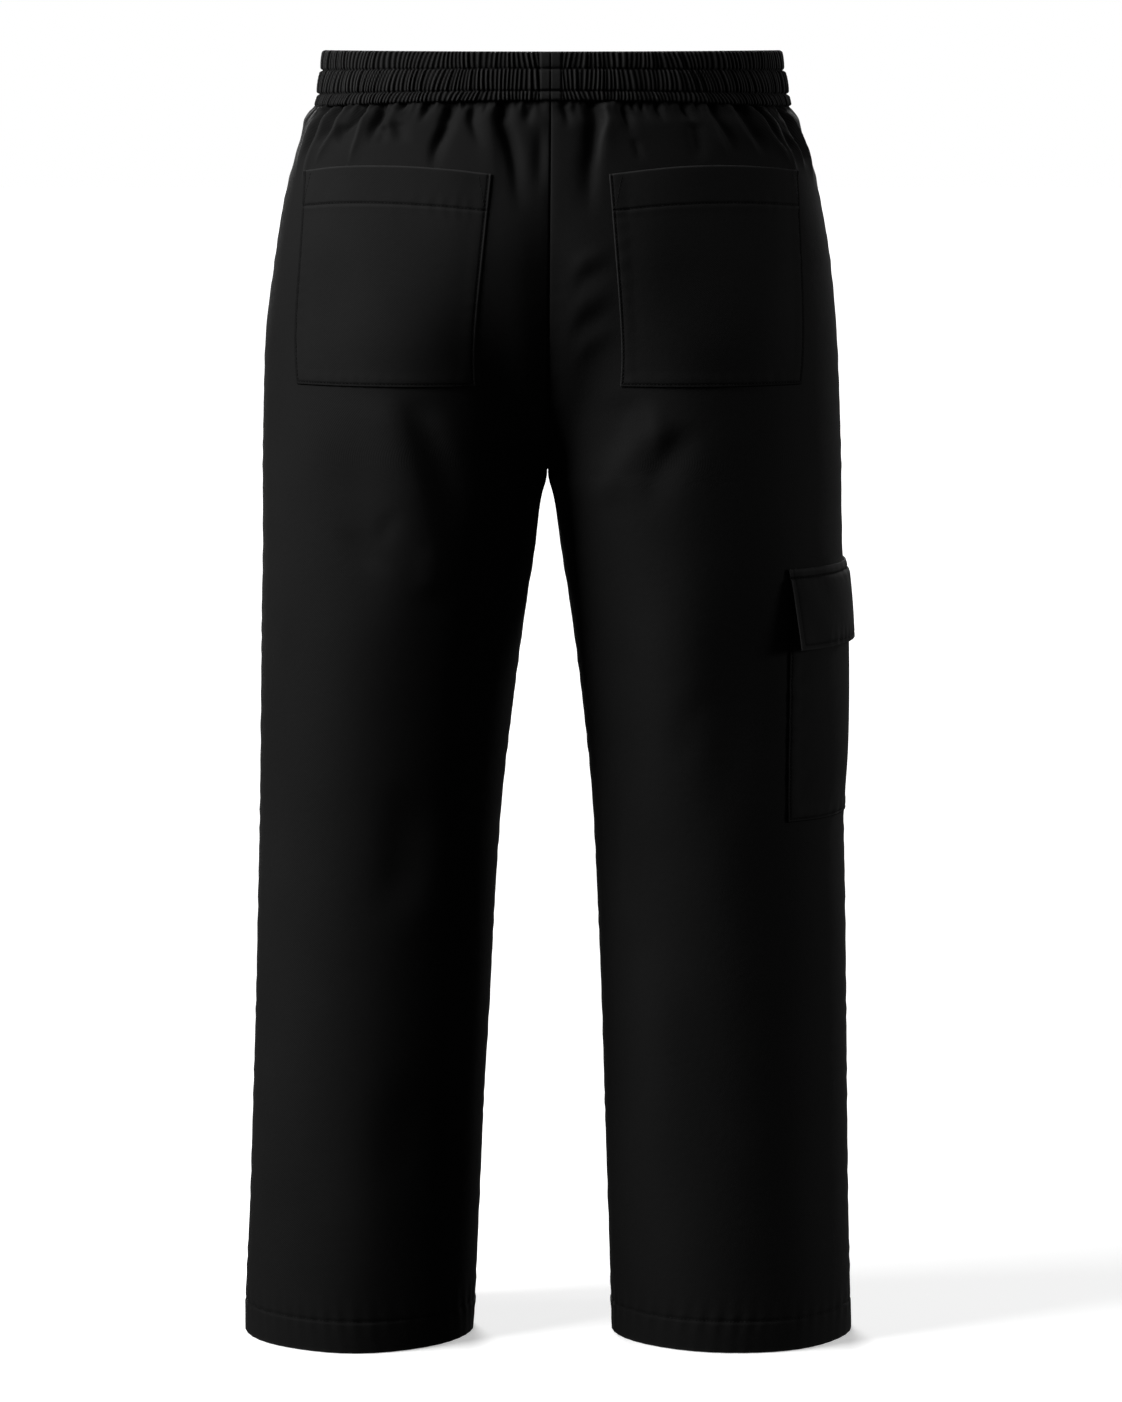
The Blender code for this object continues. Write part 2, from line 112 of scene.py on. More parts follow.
# Pockets, as the solids have them: on the back panels from the centre seam, on the leg from the side seam.
POCKET_TOP, POCKET_BOTTOM = 0.073, 0.240
POCKET_MOUTH_RISE, POCKET_MOUTH_SLANT = 0.0048, 0.0032
POCKET_INNER = (0.0467, 0.0630)
POCKET_OUTER = (0.2215, 0.2230)
POCKET_HEM = 0.0270
CARGO_BEHIND, CARGO_NARROWS_BEHIND, CARGO_BEFORE = 0.122, 0.008, 0.077
CARGO_TOP, CARGO_BOTTOM = 0.397, 0.597
FLAP_TOP, FLAP_BOTTOM = 0.3888, 0.4540
FLAP_OVERHANG, FLAP_NARROWS = 0.002, 0.004
POCKET_WIDE, POCKET_DEEP = 0.170, POCKET_BOTTOM - POCKET_TOP
CARGO_WIDE, CARGO_DEEP = CARGO_BEHIND + CARGO_BEFORE, CARGO_BOTTOM - CARGO_TOP
FLAP_DEEP = FLAP_BOTTOM - FLAP_TOP

# Cloth. Flat sizes are of what shows, along the cloth.
HEM_DEEP = 0.0262
PATCH_THICK, FLAP_THICK = 0.0008, 0.0014
BAND_FLAT, BAND_FULLNESS = (1.56, 0.046), 1.5


# ------------------------------------------------------------------------------------------- the form


def ease(share):
    """0 up to 0, 1 from 1 on, and a smooth step between."""
    share = np.clip(share, 0.0, 1.0)
    return share * share * (3 - 2 * share)


def bell(away, width):
    """A bell curve: 1 at no distance, about a third at one width."""
    return np.exp(-((away / width) ** 2))


def flow(at, knots, values):
    """A smooth curve through a table's values: cubic spans whose slope at each value is the harmonic mean
    of the two straight slopes beside it, or level where they disagree, so that it never overshoots."""
    knots, values = np.asarray(knots, float), np.asarray(values, float)
    straight = np.diff(values) / np.diff(knots)
    slopes = np.concatenate([straight[:1], 0 * straight[1:], straight[-1:]])
    before, after = straight[:-1], straight[1:]
    agree = before * after > 0
    slopes[1:-1][agree] = 2 / (1 / before[agree] + 1 / after[agree])
    low = np.clip(np.searchsorted(knots, at) - 1, 0, len(knots) - 2)
    span = knots[low + 1] - knots[low]
    t = (at - knots[low]) / span
    rise = values[low] * (1 + 2 * t) * (1 - t) ** 2 + values[low + 1] * t * t * (3 - 2 * t)
    return rise + span * (slopes[low] * t * (1 - t) ** 2 - slopes[low + 1] * t * t * (1 - t))


def outline(name, down):
    """One column of SECTIONS at any level."""
    return flow(down, SECTIONS[:, 0], SECTIONS[:, SECTION_COLUMNS.index(name)])


def leg_share(down, turn):
    """How far each point has gone from the trunk's section to the leg's: a slow change nearly all round, a
    sooner one in the valley at the centre, and at the centre seam a quarter of an ellipse, or of a
    slightly fuller curve. Each fades out round the cloth as a bell curve."""
    at_back = turn <= QUARTER
    divides, power = np.where(at_back, *SEAT_DIVIDES), np.where(at_back, *SEAM_POWER)
    sine = np.clip((down - divides) / (CROTCH - divides), 0.0, 1.0)
    at_seam = 1.0 - (1.0 - sine**power) ** (1.0 / power)
    forms_from = np.where(at_back, *VALLEY_FORMS_FROM)
    in_valley = ease((down - forms_from) / (VALLEY_FORMED - forms_from))
    elsewhere = ease((down - LEG_FORMS_FROM) / (LEG_FORMED - LEG_FORMS_FROM))
    from_seam = np.minimum(turn, HALF - turn)
    valley = bell(from_seam, np.where(at_back, *VALLEY_WIDTH))
    beside = bell(from_seam, np.where(at_back, *BESIDE_SEAM))
    return elsewhere + (in_valley - elsewhere) * valley + (at_seam - in_valley) * beside


def plain_points(side, down, turn):
    """Points of one half without folds: the trunk's superellipse and the leg's ellipse, both run through
    by the same turn, mixed by leg_share."""
    name = "left" if side == LEFT else "right"
    outer, inner = outline("outer_" + name, down), outline("inner_" + name, down)
    depth = np.where(turn <= QUARTER, outline("back", down), outline("front", down))
    across, along = np.sin(turn), np.cos(turn)
    power = 2.0 / TRUNK_SQUARENESS
    trunk_x = outer * np.abs(across) ** power
    trunk_y = depth * np.sign(along) * np.abs(along) ** power
    leg_x = (outer + inner) / 2 - (outer - inner) / 2 * np.cos(2 * turn)
    leg_y = depth * np.sin(2 * turn)
    mixed = leg_share(down, turn)
    x = trunk_x + mixed * (leg_x - trunk_x)
    y = trunk_y + mixed * (leg_y - trunk_y)
    shift = CROTCH_SHIFT * ease(down / CROTCH)
    return np.stack([side * x + shift, y, -down + 0 * x], axis=-1)


def unit(vectors):
    """Vectors at length 1."""
    return vectors / np.linalg.norm(vectors, axis=-1, keepdims=True)


def outward(side, down, turn):
    """Unit normals of the plain surface, pointing out of the garment."""
    before, after = np.clip(turn - STEP, 0, HALF), np.clip(turn + STEP, 0, HALF)
    around = plain_points(side, down, after) - plain_points(side, down, before)
    downwards = plain_points(side, down + STEP, turn) - plain_points(side, down - STEP, turn)
    return unit(side * np.cross(around, downwards))


def waist_tilt(turn, at_back, at_front):
    """A height that is nothing at the side seams and grows as a squared cosine to the centres."""
    along = np.cos(turn)
    return np.where(along > 0, at_back, at_front) * along**2


def seam_level(turn):
    """How far down the waist seam lies at each turn."""
    return WAIST_SEAM + waist_tilt(turn, -SEAM_RISE_BACK, SEAM_DROP_FRONT)


def tilted(level, turn):
    """How far down a panel's row lies at each turn: it follows the waist seam and levels out below."""
    left_over = 1 - ease((level - WAIST_SEAM) / SEAM_LEVELS_OUT)
    return level + (seam_level(turn) - WAIST_SEAM) * left_over


def way_round(side, back):
    """For many levels, the turn at each share of the way round the cloth, and the whole way's length."""
    levels = np.linspace(WAIST_SEAM - 0.045, HEM + 0.006, WAY_LEVELS)
    turn = np.linspace(0.0 if back else HALF, QUARTER, WAY_TURNS)
    points = plain_points(side, levels[:, None] + 0 * turn, turn + 0 * levels[:, None])
    steps = np.linalg.norm(np.diff(points, axis=1), axis=-1)
    length = np.concatenate([np.zeros((len(levels), 1)), np.cumsum(steps, axis=1)], axis=1)
    shares = np.linspace(0, 1, WAY_SHARES)
    turns = np.array([np.interp(shares, row / row[-1], turn) for row in length])
    return levels, turns, length[:, -1]


WAYS = {(side, back): way_round(side, back) for side in (LEFT, RIGHT) for back in (True, False)}


def girth(side, back, level):
    """The whole way round one panel, in metres."""
    levels, _, lengths = WAYS[side, back]
    return np.interp(level, levels, lengths)


def turn_at(side, back, level, share):
    """The turn at a share of the way round, read from the table of ways between its rows and columns."""
    levels, turns, _ = WAYS[side, back]
    row = np.clip((level - levels[0]) / (levels[1] - levels[0]), 0, len(levels) - 1.001)
    col = np.clip(share, 0, 1) * (turns.shape[1] - 1.001)
    low, left = row.astype(int), col.astype(int)
    lower, further = row - low, col - left
    above = turns[low, left] * (1 - further) + turns[low, left + 1] * further
    below = turns[low + 1, left] * (1 - further) + turns[low + 1, left + 1] * further
    return above * (1 - lower) + below * lower


def traced(side, x, y):
    """Where on the back panel's cloth a pixel of the photograph lies, as its level and its distance from
    the side seam: the sight line is followed to a guessed depth, then the cloth's own depth there replaces
    the guess, and so on."""
    right = (x - PICTURE[0] / 2) / FOCAL
    up = (PICTURE[1] / 2 - y) / FOCAL
    sine, cosine = math.sin(PITCH), math.cos(PITCH)
    line = np.array([-right, -cosine - up * sine, up * cosine - sine])
    shares = np.linspace(0, 1, WAY_SHARES)
    share, level, depth = 0.5, WAIST_SEAM, 0.12
    for _ in range(TRACE_ROUNDS):
        place = CAMERA_AT + line * (depth - CAMERA_AT[1]) / line[1]
        turn = float(turn_at(side, True, np.array(level), np.array(share)))
        level += -place[2] - float(tilted(level, turn))
        row = turn_at(side, True, np.full(WAY_SHARES, level), shares)
        points = plain_points(side, tilted(level, row), row)
        share = float(np.interp(side * place[0], np.maximum.accumulate(side * points[:, 0]), shares))
        depth = float(np.interp(share, shares, points[:, 1]))
    return level, (1 - share) * float(girth(side, True, level))


# -------------------------------------------------------------------------------------------- the folds

# Folds, one to a row, by columns: height out of the cloth, so that a trough is below 0; widths before and
# after the crest, all in millimetres; how crisp it is, 0 on a soft round fold and 1 on one with a creased
# crest; its two fades, as shares of its length; and its path, top end first. The paths on the back are
# pixels of the photograph. The front, which it doesn't show, has folds of the same kinds, with paths in
# millimetres round from the centre and below the waist.
BACK_FOLDS = {
    LEFT: (
        (-2.8, 8, 6, 0, 0.4, 0.5, ((542, 118), (541, 150), (540, 200))),
        (-3.7, 3.4, 3.4, 0.2, 0, 0.8, ((527, 108), (529, 130))),
        (-6.4, 6.2, 4.2, 0.2, 0, 0.75, ((499, 106), (502, 122), (508, 140), (513, 160), (522, 222))),
        (2, 5, 8, 0, 0.1, 0.7, ((489, 108), (492, 150), (497, 200))),
        (-3.4, 2.2, 2.2, 0.2, 0, 0.7, ((483, 106), (483, 116))),
        (-4.9, 4.4, 3.2, 0.2, 0, 0.8, ((469, 106), (472, 122), (477, 138), (481, 152))),
        (-3.2, 2.2, 2.2, 0.2, 0, 0.7, ((462, 104), (462, 111))),
        (-3.4, 2, 2, 0.2, 0, 0.7, ((453, 106), (452, 117))),
        (-6.2, 6.4, 4.4, 0.2, 0, 0.6, ((444, 106), (447, 116), (444, 128), (438, 142), (432, 176))),
        (-3.8, 3.2, 3, 0.2, 0, 0.8, ((426, 105), (424, 114), (422, 126))),
        (-2.8, 6, 5, 0, 0.3, 0.5, ((399, 118), (401, 146))),
        (-3, 4.6, 5, 0, 0.3, 0.5, ((384, 124), (382, 134), (380, 146))),
        (1.8, 4, 6, 0.2, 0.2, 0.5, ((392, 108), (389, 122), (388, 140))),
        (-3, 5, 5, 0, 0.3, 0.5, ((344, 122), (340, 134), (338, 146))),
        (-6.1, 2.6, 2.6, 0.2, 0, 0.8, ((402, 104), (400, 113))),
        (-7.4, 5.2, 4.2, 0.2, 0, 0.65, ((378, 106), (376, 120), (372, 132), (369, 148))),
        (3, 5, 10, 0.9, 0.05, 0.4, ((368, 104), (365, 116), (360, 130), (351, 157), (346, 172))),
        (-5.8, 5.5, 5, 0.2, 0.05, 0.6, ((362, 109), (353, 122), (345, 132), (340, 148))),
        (3.4, 5, 11, 0.9, 0.05, 0.35, ((346, 105), (336, 127), (329, 140), (321, 154), (312, 170))),
        (-6.1, 5, 6, 0.2, 0, 0.5, ((338, 108), (330, 126), (318, 150))),
        (3.6, 5, 11, 0.9, 0.05, 0.4, ((333, 105), (321, 132), (314, 150), (306, 172), (299, 196))),
        (-5.8, 4.4, 5, 0.2, 0, 0.5, ((326, 110), (318, 126), (308, 150), (300, 172))),
        (3.6, 5, 11, 0.9, 0.05, 0.5, ((322, 110), (317, 120), (310, 134), (304, 152), (294, 185))),
        # the seat and the leg
        (4.2, 15, 30, 0, 0.15, 0.35, ((391, 392), (407, 441), (423, 514), (433, 571), (425, 610))),
        (-4, 19, 13, 0, 0.2, 0.5, ((404, 390), (424, 440), (441, 480), (456, 540))),
        (1.2, 12, 12, 0, 0.3, 0.5, ((426, 400), (455, 445), (472, 492))),
        (-3.4, 24, 30, 0, 0.4, 0.4, ((352, 400), (350, 470), (362, 560), (366, 640))),
        (-1.6, 12, 11, 0, 0.4, 0.4, ((342, 524), (358, 552), (378, 578))),
        (-1.2, 8, 8, 0, 0.4, 0.4, ((396, 506), (386, 530), (380, 552))),
        (2.2, 11, 12, 0, 0.4, 0.4, ((430, 540), (434, 572), (423, 602))),
        (-3, 22, 18, 0, 0.4, 0.4, ((408, 770), (406, 850), (388, 930))),
        (2, 18, 18, 0, 0.4, 0.4, ((446, 800), (436, 880), (418, 960))),
        (-2.2, 24, 24, 0, 0.4, 0.4, ((424, 1060), (408, 1130), (396, 1210))),
    ),
    RIGHT: (
        (-4, 3.4, 3.6, 0.2, 0, 0.8, ((568, 107), (567, 118), (568, 133))),
        (-6.7, 7.2, 5.6, 0.2, 0, 0.7, ((597, 106), (596, 125), (594, 145), (590, 168), (588, 224))),
        (2.6, 5, 9, 0.6, 0.05, 0.6, ((609, 106), (607, 118), (603, 132), (599, 151), (597, 175))),
        (-4.6, 3.6, 4.4, 0.2, 0, 0.8, ((628, 106), (626, 117), (629, 130), (634, 142))),
        (-1.4, 3, 4, 0, 0.2, 0.6, ((633, 138), (641, 165))),
        (-3.2, 2, 2, 0.2, 0, 0.7, ((635, 106), (636, 113))),
        (-3.4, 2, 2, 0.2, 0, 0.7, ((644, 106), (644, 113))),
        (-4, 3, 3.2, 0.2, 0, 0.8, ((658, 105), (660, 115), (664, 124))),
        (-4.2, 3.6, 4, 0.2, 0, 0.8, ((683, 104), (687, 114), (694, 124))),
        (-3, 6, 6, 0, 0.2, 0.5, ((692, 120), (697, 140), (699, 165))),
        (2.8, 10, 5, 0.9, 0.05, 0.4, ((706, 104), (709, 115), (717, 131), (723, 146), (731, 162))),
        (-4, 3.6, 7, 0.2, 0, 0.6, ((712, 106), (719, 121), (729, 138), (738, 158))),
        (3, 10, 5, 0.9, 0.05, 0.4, ((727, 102), (732, 111), (739, 124), (752, 144), (762, 160))),
        (-5.4, 4, 8, 0.2, 0, 0.5, ((737, 105), (748, 122), (757, 138), (766, 156))),
        (3.6, 10, 4.6, 0.9, 0.05, 0.35, ((747, 103), (756, 114), (766, 128), (783, 154), (792, 170))),
        (-4, 3.6, 5, 0.2, 0, 0.5, ((756, 106), (766, 120), (776, 136), (786, 154))),
        (3.4, 8, 4.4, 0.9, 0.05, 0.35, ((761, 106), (769, 118), (784, 146), (792, 163), (799, 182))),
        (-4.5, 3.4, 4.6, 0.2, 0, 0.5, ((769, 108), (778, 122), (787, 140), (795, 160))),
        (3.4, 7, 4.4, 0.9, 0.05, 0.4, ((771, 110), (780, 124), (791, 141), (799, 155), (806, 175))),
        (-4.2, 3.4, 4.6, 0.2, 0, 0.5, ((780, 110), (789, 126), (799, 146), (806, 168))),
        (3.4, 7, 4.4, 0.9, 0.05, 0.5, ((784, 110), (792, 123), (800, 138), (808, 158), (815, 190))),
        (1.4, 6, 8, 0, 0.4, 0.5, ((566, 272), (588, 258), (616, 250))),
        (-1.2, 6, 6, 0, 0.4, 0.5, ((566, 292), (588, 278), (616, 268))),
        (1.4, 6, 8, 0, 0.4, 0.5, ((564, 318), (588, 300), (620, 290))),
        (-1.3, 6, 7, 0, 0.4, 0.5, ((564, 340), (588, 322), (620, 310))),
        (1.3, 6, 8, 0, 0.4, 0.5, ((566, 364), (590, 342), (622, 328))),
        # the seat and the leg
        (2.1, 12, 14, 0, 0.25, 0.4, ((664, 410), (650, 432), (631, 455), (610, 482), (594, 520))),
        (-2.2, 18, 12, 0, 0.3, 0.4, ((636, 388), (616, 424), (596, 470))),
        (-3, 12, 16, 0, 0.3, 0.5, ((688, 420), (674, 446), (658, 480), (648, 524))),
        (1.8, 8, 11, 0, 0.3, 0.5, ((652, 398), (658, 432), (664, 470))),
        (3.6, 30, 34, 0, 0.4, 0.4, ((664, 540), (672, 700), (676, 860))),
        (-2.4, 22, 24, 0, 0.4, 0.4, ((740, 560), (736, 700), (728, 850))),
        (-1.4, 16, 16, 0, 0.4, 0.4, ((706, 680), (690, 730), (680, 780))),
        (-1.8, 14, 14, 0, 0.4, 0.4, ((620, 760), (616, 850), (620, 940))),
        (2.8, 22, 26, 0, 0.4, 0.4, ((650, 940), (658, 1080), (668, 1200))),
    ),
}
FRONT_FOLDS = {
    LEFT: (
        (-5.6, 4, 4.4, 0.2, 0, 0.7, ((14, 18.2), (14, 46), (15, 72))),
        (-9.6, 5.4, 6, 0.2, 0, 0.7, ((40, 18.2), (38, 70), (36, 125))),
        (3, 6, 7, 0.4, 0.1, 0.7, ((55, 18.2), (55, 60), (54, 105))),
        (-7, 4.4, 4.4, 0.2, 0, 0.8, ((79, 18.2), (82, 50), (85, 90))),
        (-4.9, 3.6, 3.6, 0.2, 0, 0.8, ((98, 18.2), (100, 46))),
        (-9, 5, 6, 0.2, 0, 0.7, ((121, 18.2), (127, 60), (132, 116))),
        (4, 5.6, 11, 0.7, 0.1, 0.6, ((136, 18.2), (143, 60), (152, 104))),
        (-6.6, 4.4, 5, 0.2, 0, 0.8, ((160, 18.2), (167, 50), (174, 82))),
        (4.2, 5, 12, 0.8, 0.1, 0.6, ((180, 18.2), (191, 60), (204, 118))),
        (-7.6, 6, 6, 0.2, 0, 0.7, ((203, 18.2), (214, 56), (224, 96))),
        (4.4, 6, 12, 0.8, 0.1, 0.6, ((220, 18.2), (238, 80), (255, 150))),
        # the seat and the leg
        (4.4, 9, 13, 0.2, 0.3, 0.5, ((14, 252), (60, 280), (118, 290))),
        (-4, 10, 11, 0, 0.3, 0.5, ((16, 276), (60, 302), (112, 314))),
        (3.4, 9, 12, 0.1, 0.3, 0.5, ((22, 316), (66, 336), (112, 344))),
        (-2.8, 10, 11, 0, 0.3, 0.5, ((26, 344), (64, 366), (100, 376))),
        (-4, 18, 14, 0, 0.4, 0.4, ((92, 400), (106, 500), (108, 590))),
        (3.6, 16, 20, 0, 0.4, 0.4, ((150, 360), (160, 460), (156, 580))),
        (2.4, 10, 12, 0.1, 0.4, 0.5, ((60, 560), (110, 580), (160, 576))),
        (-2.6, 11, 12, 0, 0.4, 0.5, ((70, 588), (116, 606), (170, 600))),
        (-3.4, 16, 18, 0, 0.4, 0.4, ((130, 700), (146, 790), (156, 880))),
        (3.4, 18, 18, 0, 0.4, 0.4, ((186, 620), (180, 740), (170, 860))),
    ),
    RIGHT: (
        (-8.8, 5.4, 6, 0.2, 0, 0.7, ((33, 18.2), (33, 60), (35, 110))),
        (2.6, 5, 6, 0.4, 0.1, 0.7, ((48, 18.2), (48, 50), (49, 90))),
        (-7, 4.4, 4.4, 0.2, 0, 0.8, ((64, 18.2), (64, 50), (62, 84))),
        (3, 7, 8, 0.4, 0.1, 0.7, ((82, 18.2), (84, 70), (86, 125))),
        (-9.6, 5, 6, 0.2, 0, 0.7, ((107, 18.2), (111, 70), (117, 130))),
        (-5.2, 3.6, 3.6, 0.2, 0, 0.8, ((130, 18.2), (133, 48))),
        (4.2, 5, 11, 0.7, 0.1, 0.6, ((145, 18.2), (153, 58), (163, 98))),
        (-7.4, 4.8, 5, 0.2, 0, 0.8, ((168, 18.2), (176, 52), (184, 90))),
        (4.4, 5, 12, 0.8, 0.1, 0.6, ((190, 18.2), (203, 66), (216, 124))),
        (-7.4, 6, 6, 0.2, 0, 0.7, ((212, 18.2), (224, 58), (236, 104))),
        # the seat and the leg
        (4.4, 9, 13, 0.2, 0.3, 0.5, ((14, 244), (62, 274), (124, 286))),
        (-4, 10, 11, 0, 0.3, 0.5, ((16, 270), (62, 298), (116, 308))),
        (3.2, 9, 12, 0.1, 0.3, 0.5, ((24, 328), (66, 350), (106, 358))),
        (-2.6, 10, 11, 0, 0.3, 0.5, ((30, 354), (62, 374), (94, 382))),
        (3.6, 16, 20, 0, 0.4, 0.4, ((140, 380), (148, 480), (142, 600))),
        (-3.8, 16, 15, 0, 0.4, 0.4, ((86, 430), (100, 530), (106, 640))),
        (2.4, 10, 12, 0.1, 0.4, 0.5, ((50, 596), (96, 616), (140, 614))),
        (-3.4, 18, 16, 0, 0.4, 0.4, ((160, 740), (154, 830), (142, 920))),
        (3, 16, 18, 0, 0.4, 0.4, ((110, 720), (112, 800), (104, 900))),
    ),
}

# Small gathers right below the waist seam: how many to a panel, and how deep and long they are.
SMALL_GATHERS = 34
SMALL_DEEP, SMALL_LONG, SMALL_WIDE = 0.0026, 0.0110, 0.0024
SEAM_STIFF, NEAR_SEAM, PAINTED_CREST_LINE_WIDE = 0.0090, 0.010, 0.0016


def scatter(count, seed):
    """Numbers from 0 to 1 that look unordered, the same ones each time."""
    return np.random.default_rng(seed).random(count)


def one_fold(level, from_side, fold):
    """The height of one fold. Its crest is a smooth curve through the path, read by level where the path
    runs down the cloth and by the distance from the side seam where it runs across. Away from the crest
    it falls off as a bell curve, mixed by its crispness with an exponential one that is rounded only at its
    very tip, and it fades in and out along its length."""
    height, near, far, crisp, fade_in, fade_out, path = fold
    down, across = np.array(path).T
    if abs(down[-1] - down[0]) >= abs(across[-1] - across[0]):
        order = np.argsort(down)
        crest = flow(np.clip(level, down.min(), down.max()), down[order], across[order])
        way = (level - down[0]) / (down[-1] - down[0])
        lean = (across[-1] - across[0]) / (down[-1] - down[0])
        away = (crest - from_side) / math.hypot(1, lean)
    else:
        order = np.argsort(across)
        crest = flow(np.clip(from_side, across.min(), across.max()), across[order], down[order])
        way = (from_side - across[0]) / (across[-1] - across[0])
        lean = (down[-1] - down[0]) / (across[-1] - across[0])
        away = (level - crest) / math.hypot(1, lean)
    reach = np.abs(away) / np.where(away < 0, near, far)
    pointed = np.exp(-(np.sqrt(reach**2 + 0.01) - 0.1) * 1.3)
    profile = (1 - crisp) * np.exp(-(reach**2)) + crisp * pointed
    begins = ease(way / fade_in) if fade_in > 0 else ease(way * 40 + 1)
    ends = ease((1 - way) / fade_out)
    return height * profile * begins * ends


def small_gathers(side, back, level, share):
    """Short troughs below the waist seam, at uneven places, lengths and depths, which lean away from the
    centre as they go down."""
    seed = 10 * (side + 2) + back
    spots, deep, long = scatter((3, SMALL_GATHERS), seed)
    middle = (np.arange(SMALL_GATHERS) + 0.2 + 0.6 * spots) / SMALL_GATHERS
    around = share * girth(side, back, WAIST_SEAM)
    middle = middle * girth(side, back, WAIST_SEAM)
    below = np.maximum(level - WAIST_SEAM, 0)[..., None]
    lean = 0.5 * (middle / middle[-1]) ** 1.5
    away = around[..., None] - middle - lean * below
    wide = SMALL_WIDE * (1 + below / SMALL_LONG * 0.6)
    fade = 1 - ease(below / (SMALL_LONG * (0.5 + 1.5 * long)))
    return -(SMALL_DEEP * (0.4 + 0.8 * deep) * fade * bell(away, wide)).sum(axis=-1)


def soft_hang(side, back, level, share):
    """The slow waves of hanging cloth, a millimetre or two high: upright waves whose phase drifts with
    the level, so that no two are alike. They are level at both seams."""
    phase = 1.7 * (side == LEFT) + 0.9 * back
    legs = ease((level - 0.20) / 0.25)
    first = np.sin(FULL * (1.9 * share + 0.9 * level) + phase)
    second = np.sin(FULL * (3.3 * share - 1.3 * level) + 2.2 * phase)
    third = np.sin(FULL * (1.1 * share + 3.7 * level) + 3.1 * phase)
    return legs * np.sin(HALF * share) * (0.0011 * first + 0.0005 * second + 0.0004 * third)


def laid_out(side, back, rows):
    """A panel's folds in metres, each path as pairs of a level and a distance from the side seam. A fold of
    the back that begins within a centimetre of the waist seam begins at it."""
    made = []
    for height, near, far, crisp, fade_in, fade_out, path in rows:
        if back:
            spots = [traced(side, x, y) for x, y in path]
            if spots[0][0] < WAIST_SEAM + NEAR_SEAM:
                spots[0] = (WAIST_SEAM - 0.001, spots[0][1])
        else:
            whole = [float(girth(side, back, level * MM)) for _, level in path]
            spots = [(level * MM, length - around * MM) for (around, level), length in zip(path, whole)]
        made.append((height * MM, near * MM, far * MM, crisp, fade_in, fade_out, spots))
    return made


FOLDS = {(side, True): laid_out(side, True, rows) for side, rows in BACK_FOLDS.items()}
FOLDS.update({(side, False): laid_out(side, False, rows) for side, rows in FRONT_FOLDS.items()})


def loose_folds(side, back, level, share):
    """All folds of a panel but the small gathers, before anything stiffens them."""
    height = soft_hang(side, back, level, share)
    from_side = (1 - share) * girth(side, back, level)
    for fold in FOLDS[side, back]:
        height = height + one_fold(level, from_side, fold)
    return height


def fold_height(side, back, level, share):
    """How far the folds move the cloth out. They are stiffened to nothing at the panel's seams."""
    whole = girth(side, back, level)
    height = small_gathers(side, back, level, share) + loose_folds(side, back, level, share)
    from_seam = np.minimum(share, 1 - share) * whole
    return height * ease(from_seam / SEAM_STIFF) * ease((level - WAIST_SEAM) / 0.0034 + 1)


def creased(side, back, level, share):
    """How far each point lies on the crest of a creased fold, where a pale line is painted: a painted
    highlight for the light the crest catches, with some rubbing of the fibres.
    """
    from_side = (1 - share) * girth(side, back, level)
    marked = 0 * from_side
    for height, _, _, crisp, *fades_and_path in FOLDS[side, back]:
        if height > 0 and crisp > 0.5:
            thin = (1.0, PAINTED_CREST_LINE_WIDE, PAINTED_CREST_LINE_WIDE, 0.0, *fades_and_path)
            marked = np.maximum(marked, one_fold(level, from_side, thin))
    return marked


def on_cloth(side, back, level, share, lift):
    """Points that stand off the folded cloth of a panel by "lift", and the plain surface's normals."""
    turn = turn_at(side, back, level, share)
    down = tilted(level, turn)
    normal = outward(side, down, turn)
    height = fold_height(side, back, level, share) + lift
    return plain_points(side, down, turn) + normal * height[..., None], normal


# ---------------------------------------------------------------------------------- meshes and materials


def linear(code):
    """An sRGB hex colour as linear red, green, blue and alpha."""
    parts = [int(code[i : i + 2], 16) / 255 for i in (1, 3, 5)]
    return [p / 12.92 if p <= 0.04045 else ((p + 0.055) / 1.055) ** 2.4 for p in parts] + [1.0]


def node(tree, kind, links=(), **settings):
    """Adds a node. A setting whose name is one of the node's inputs fills that socket, and any other is
    the node's own property. Links are pairs of a socket and an input's name."""
    made = tree.nodes.new(kind)
    for name, value in settings.items():
        socket = made.inputs.get(name.replace("_", " "))
        if socket is None:
            setattr(made, name, value)
        else:
            socket.default_value = value
    for socket, name in links:
        tree.links.new(socket, made.inputs[name])
    return made


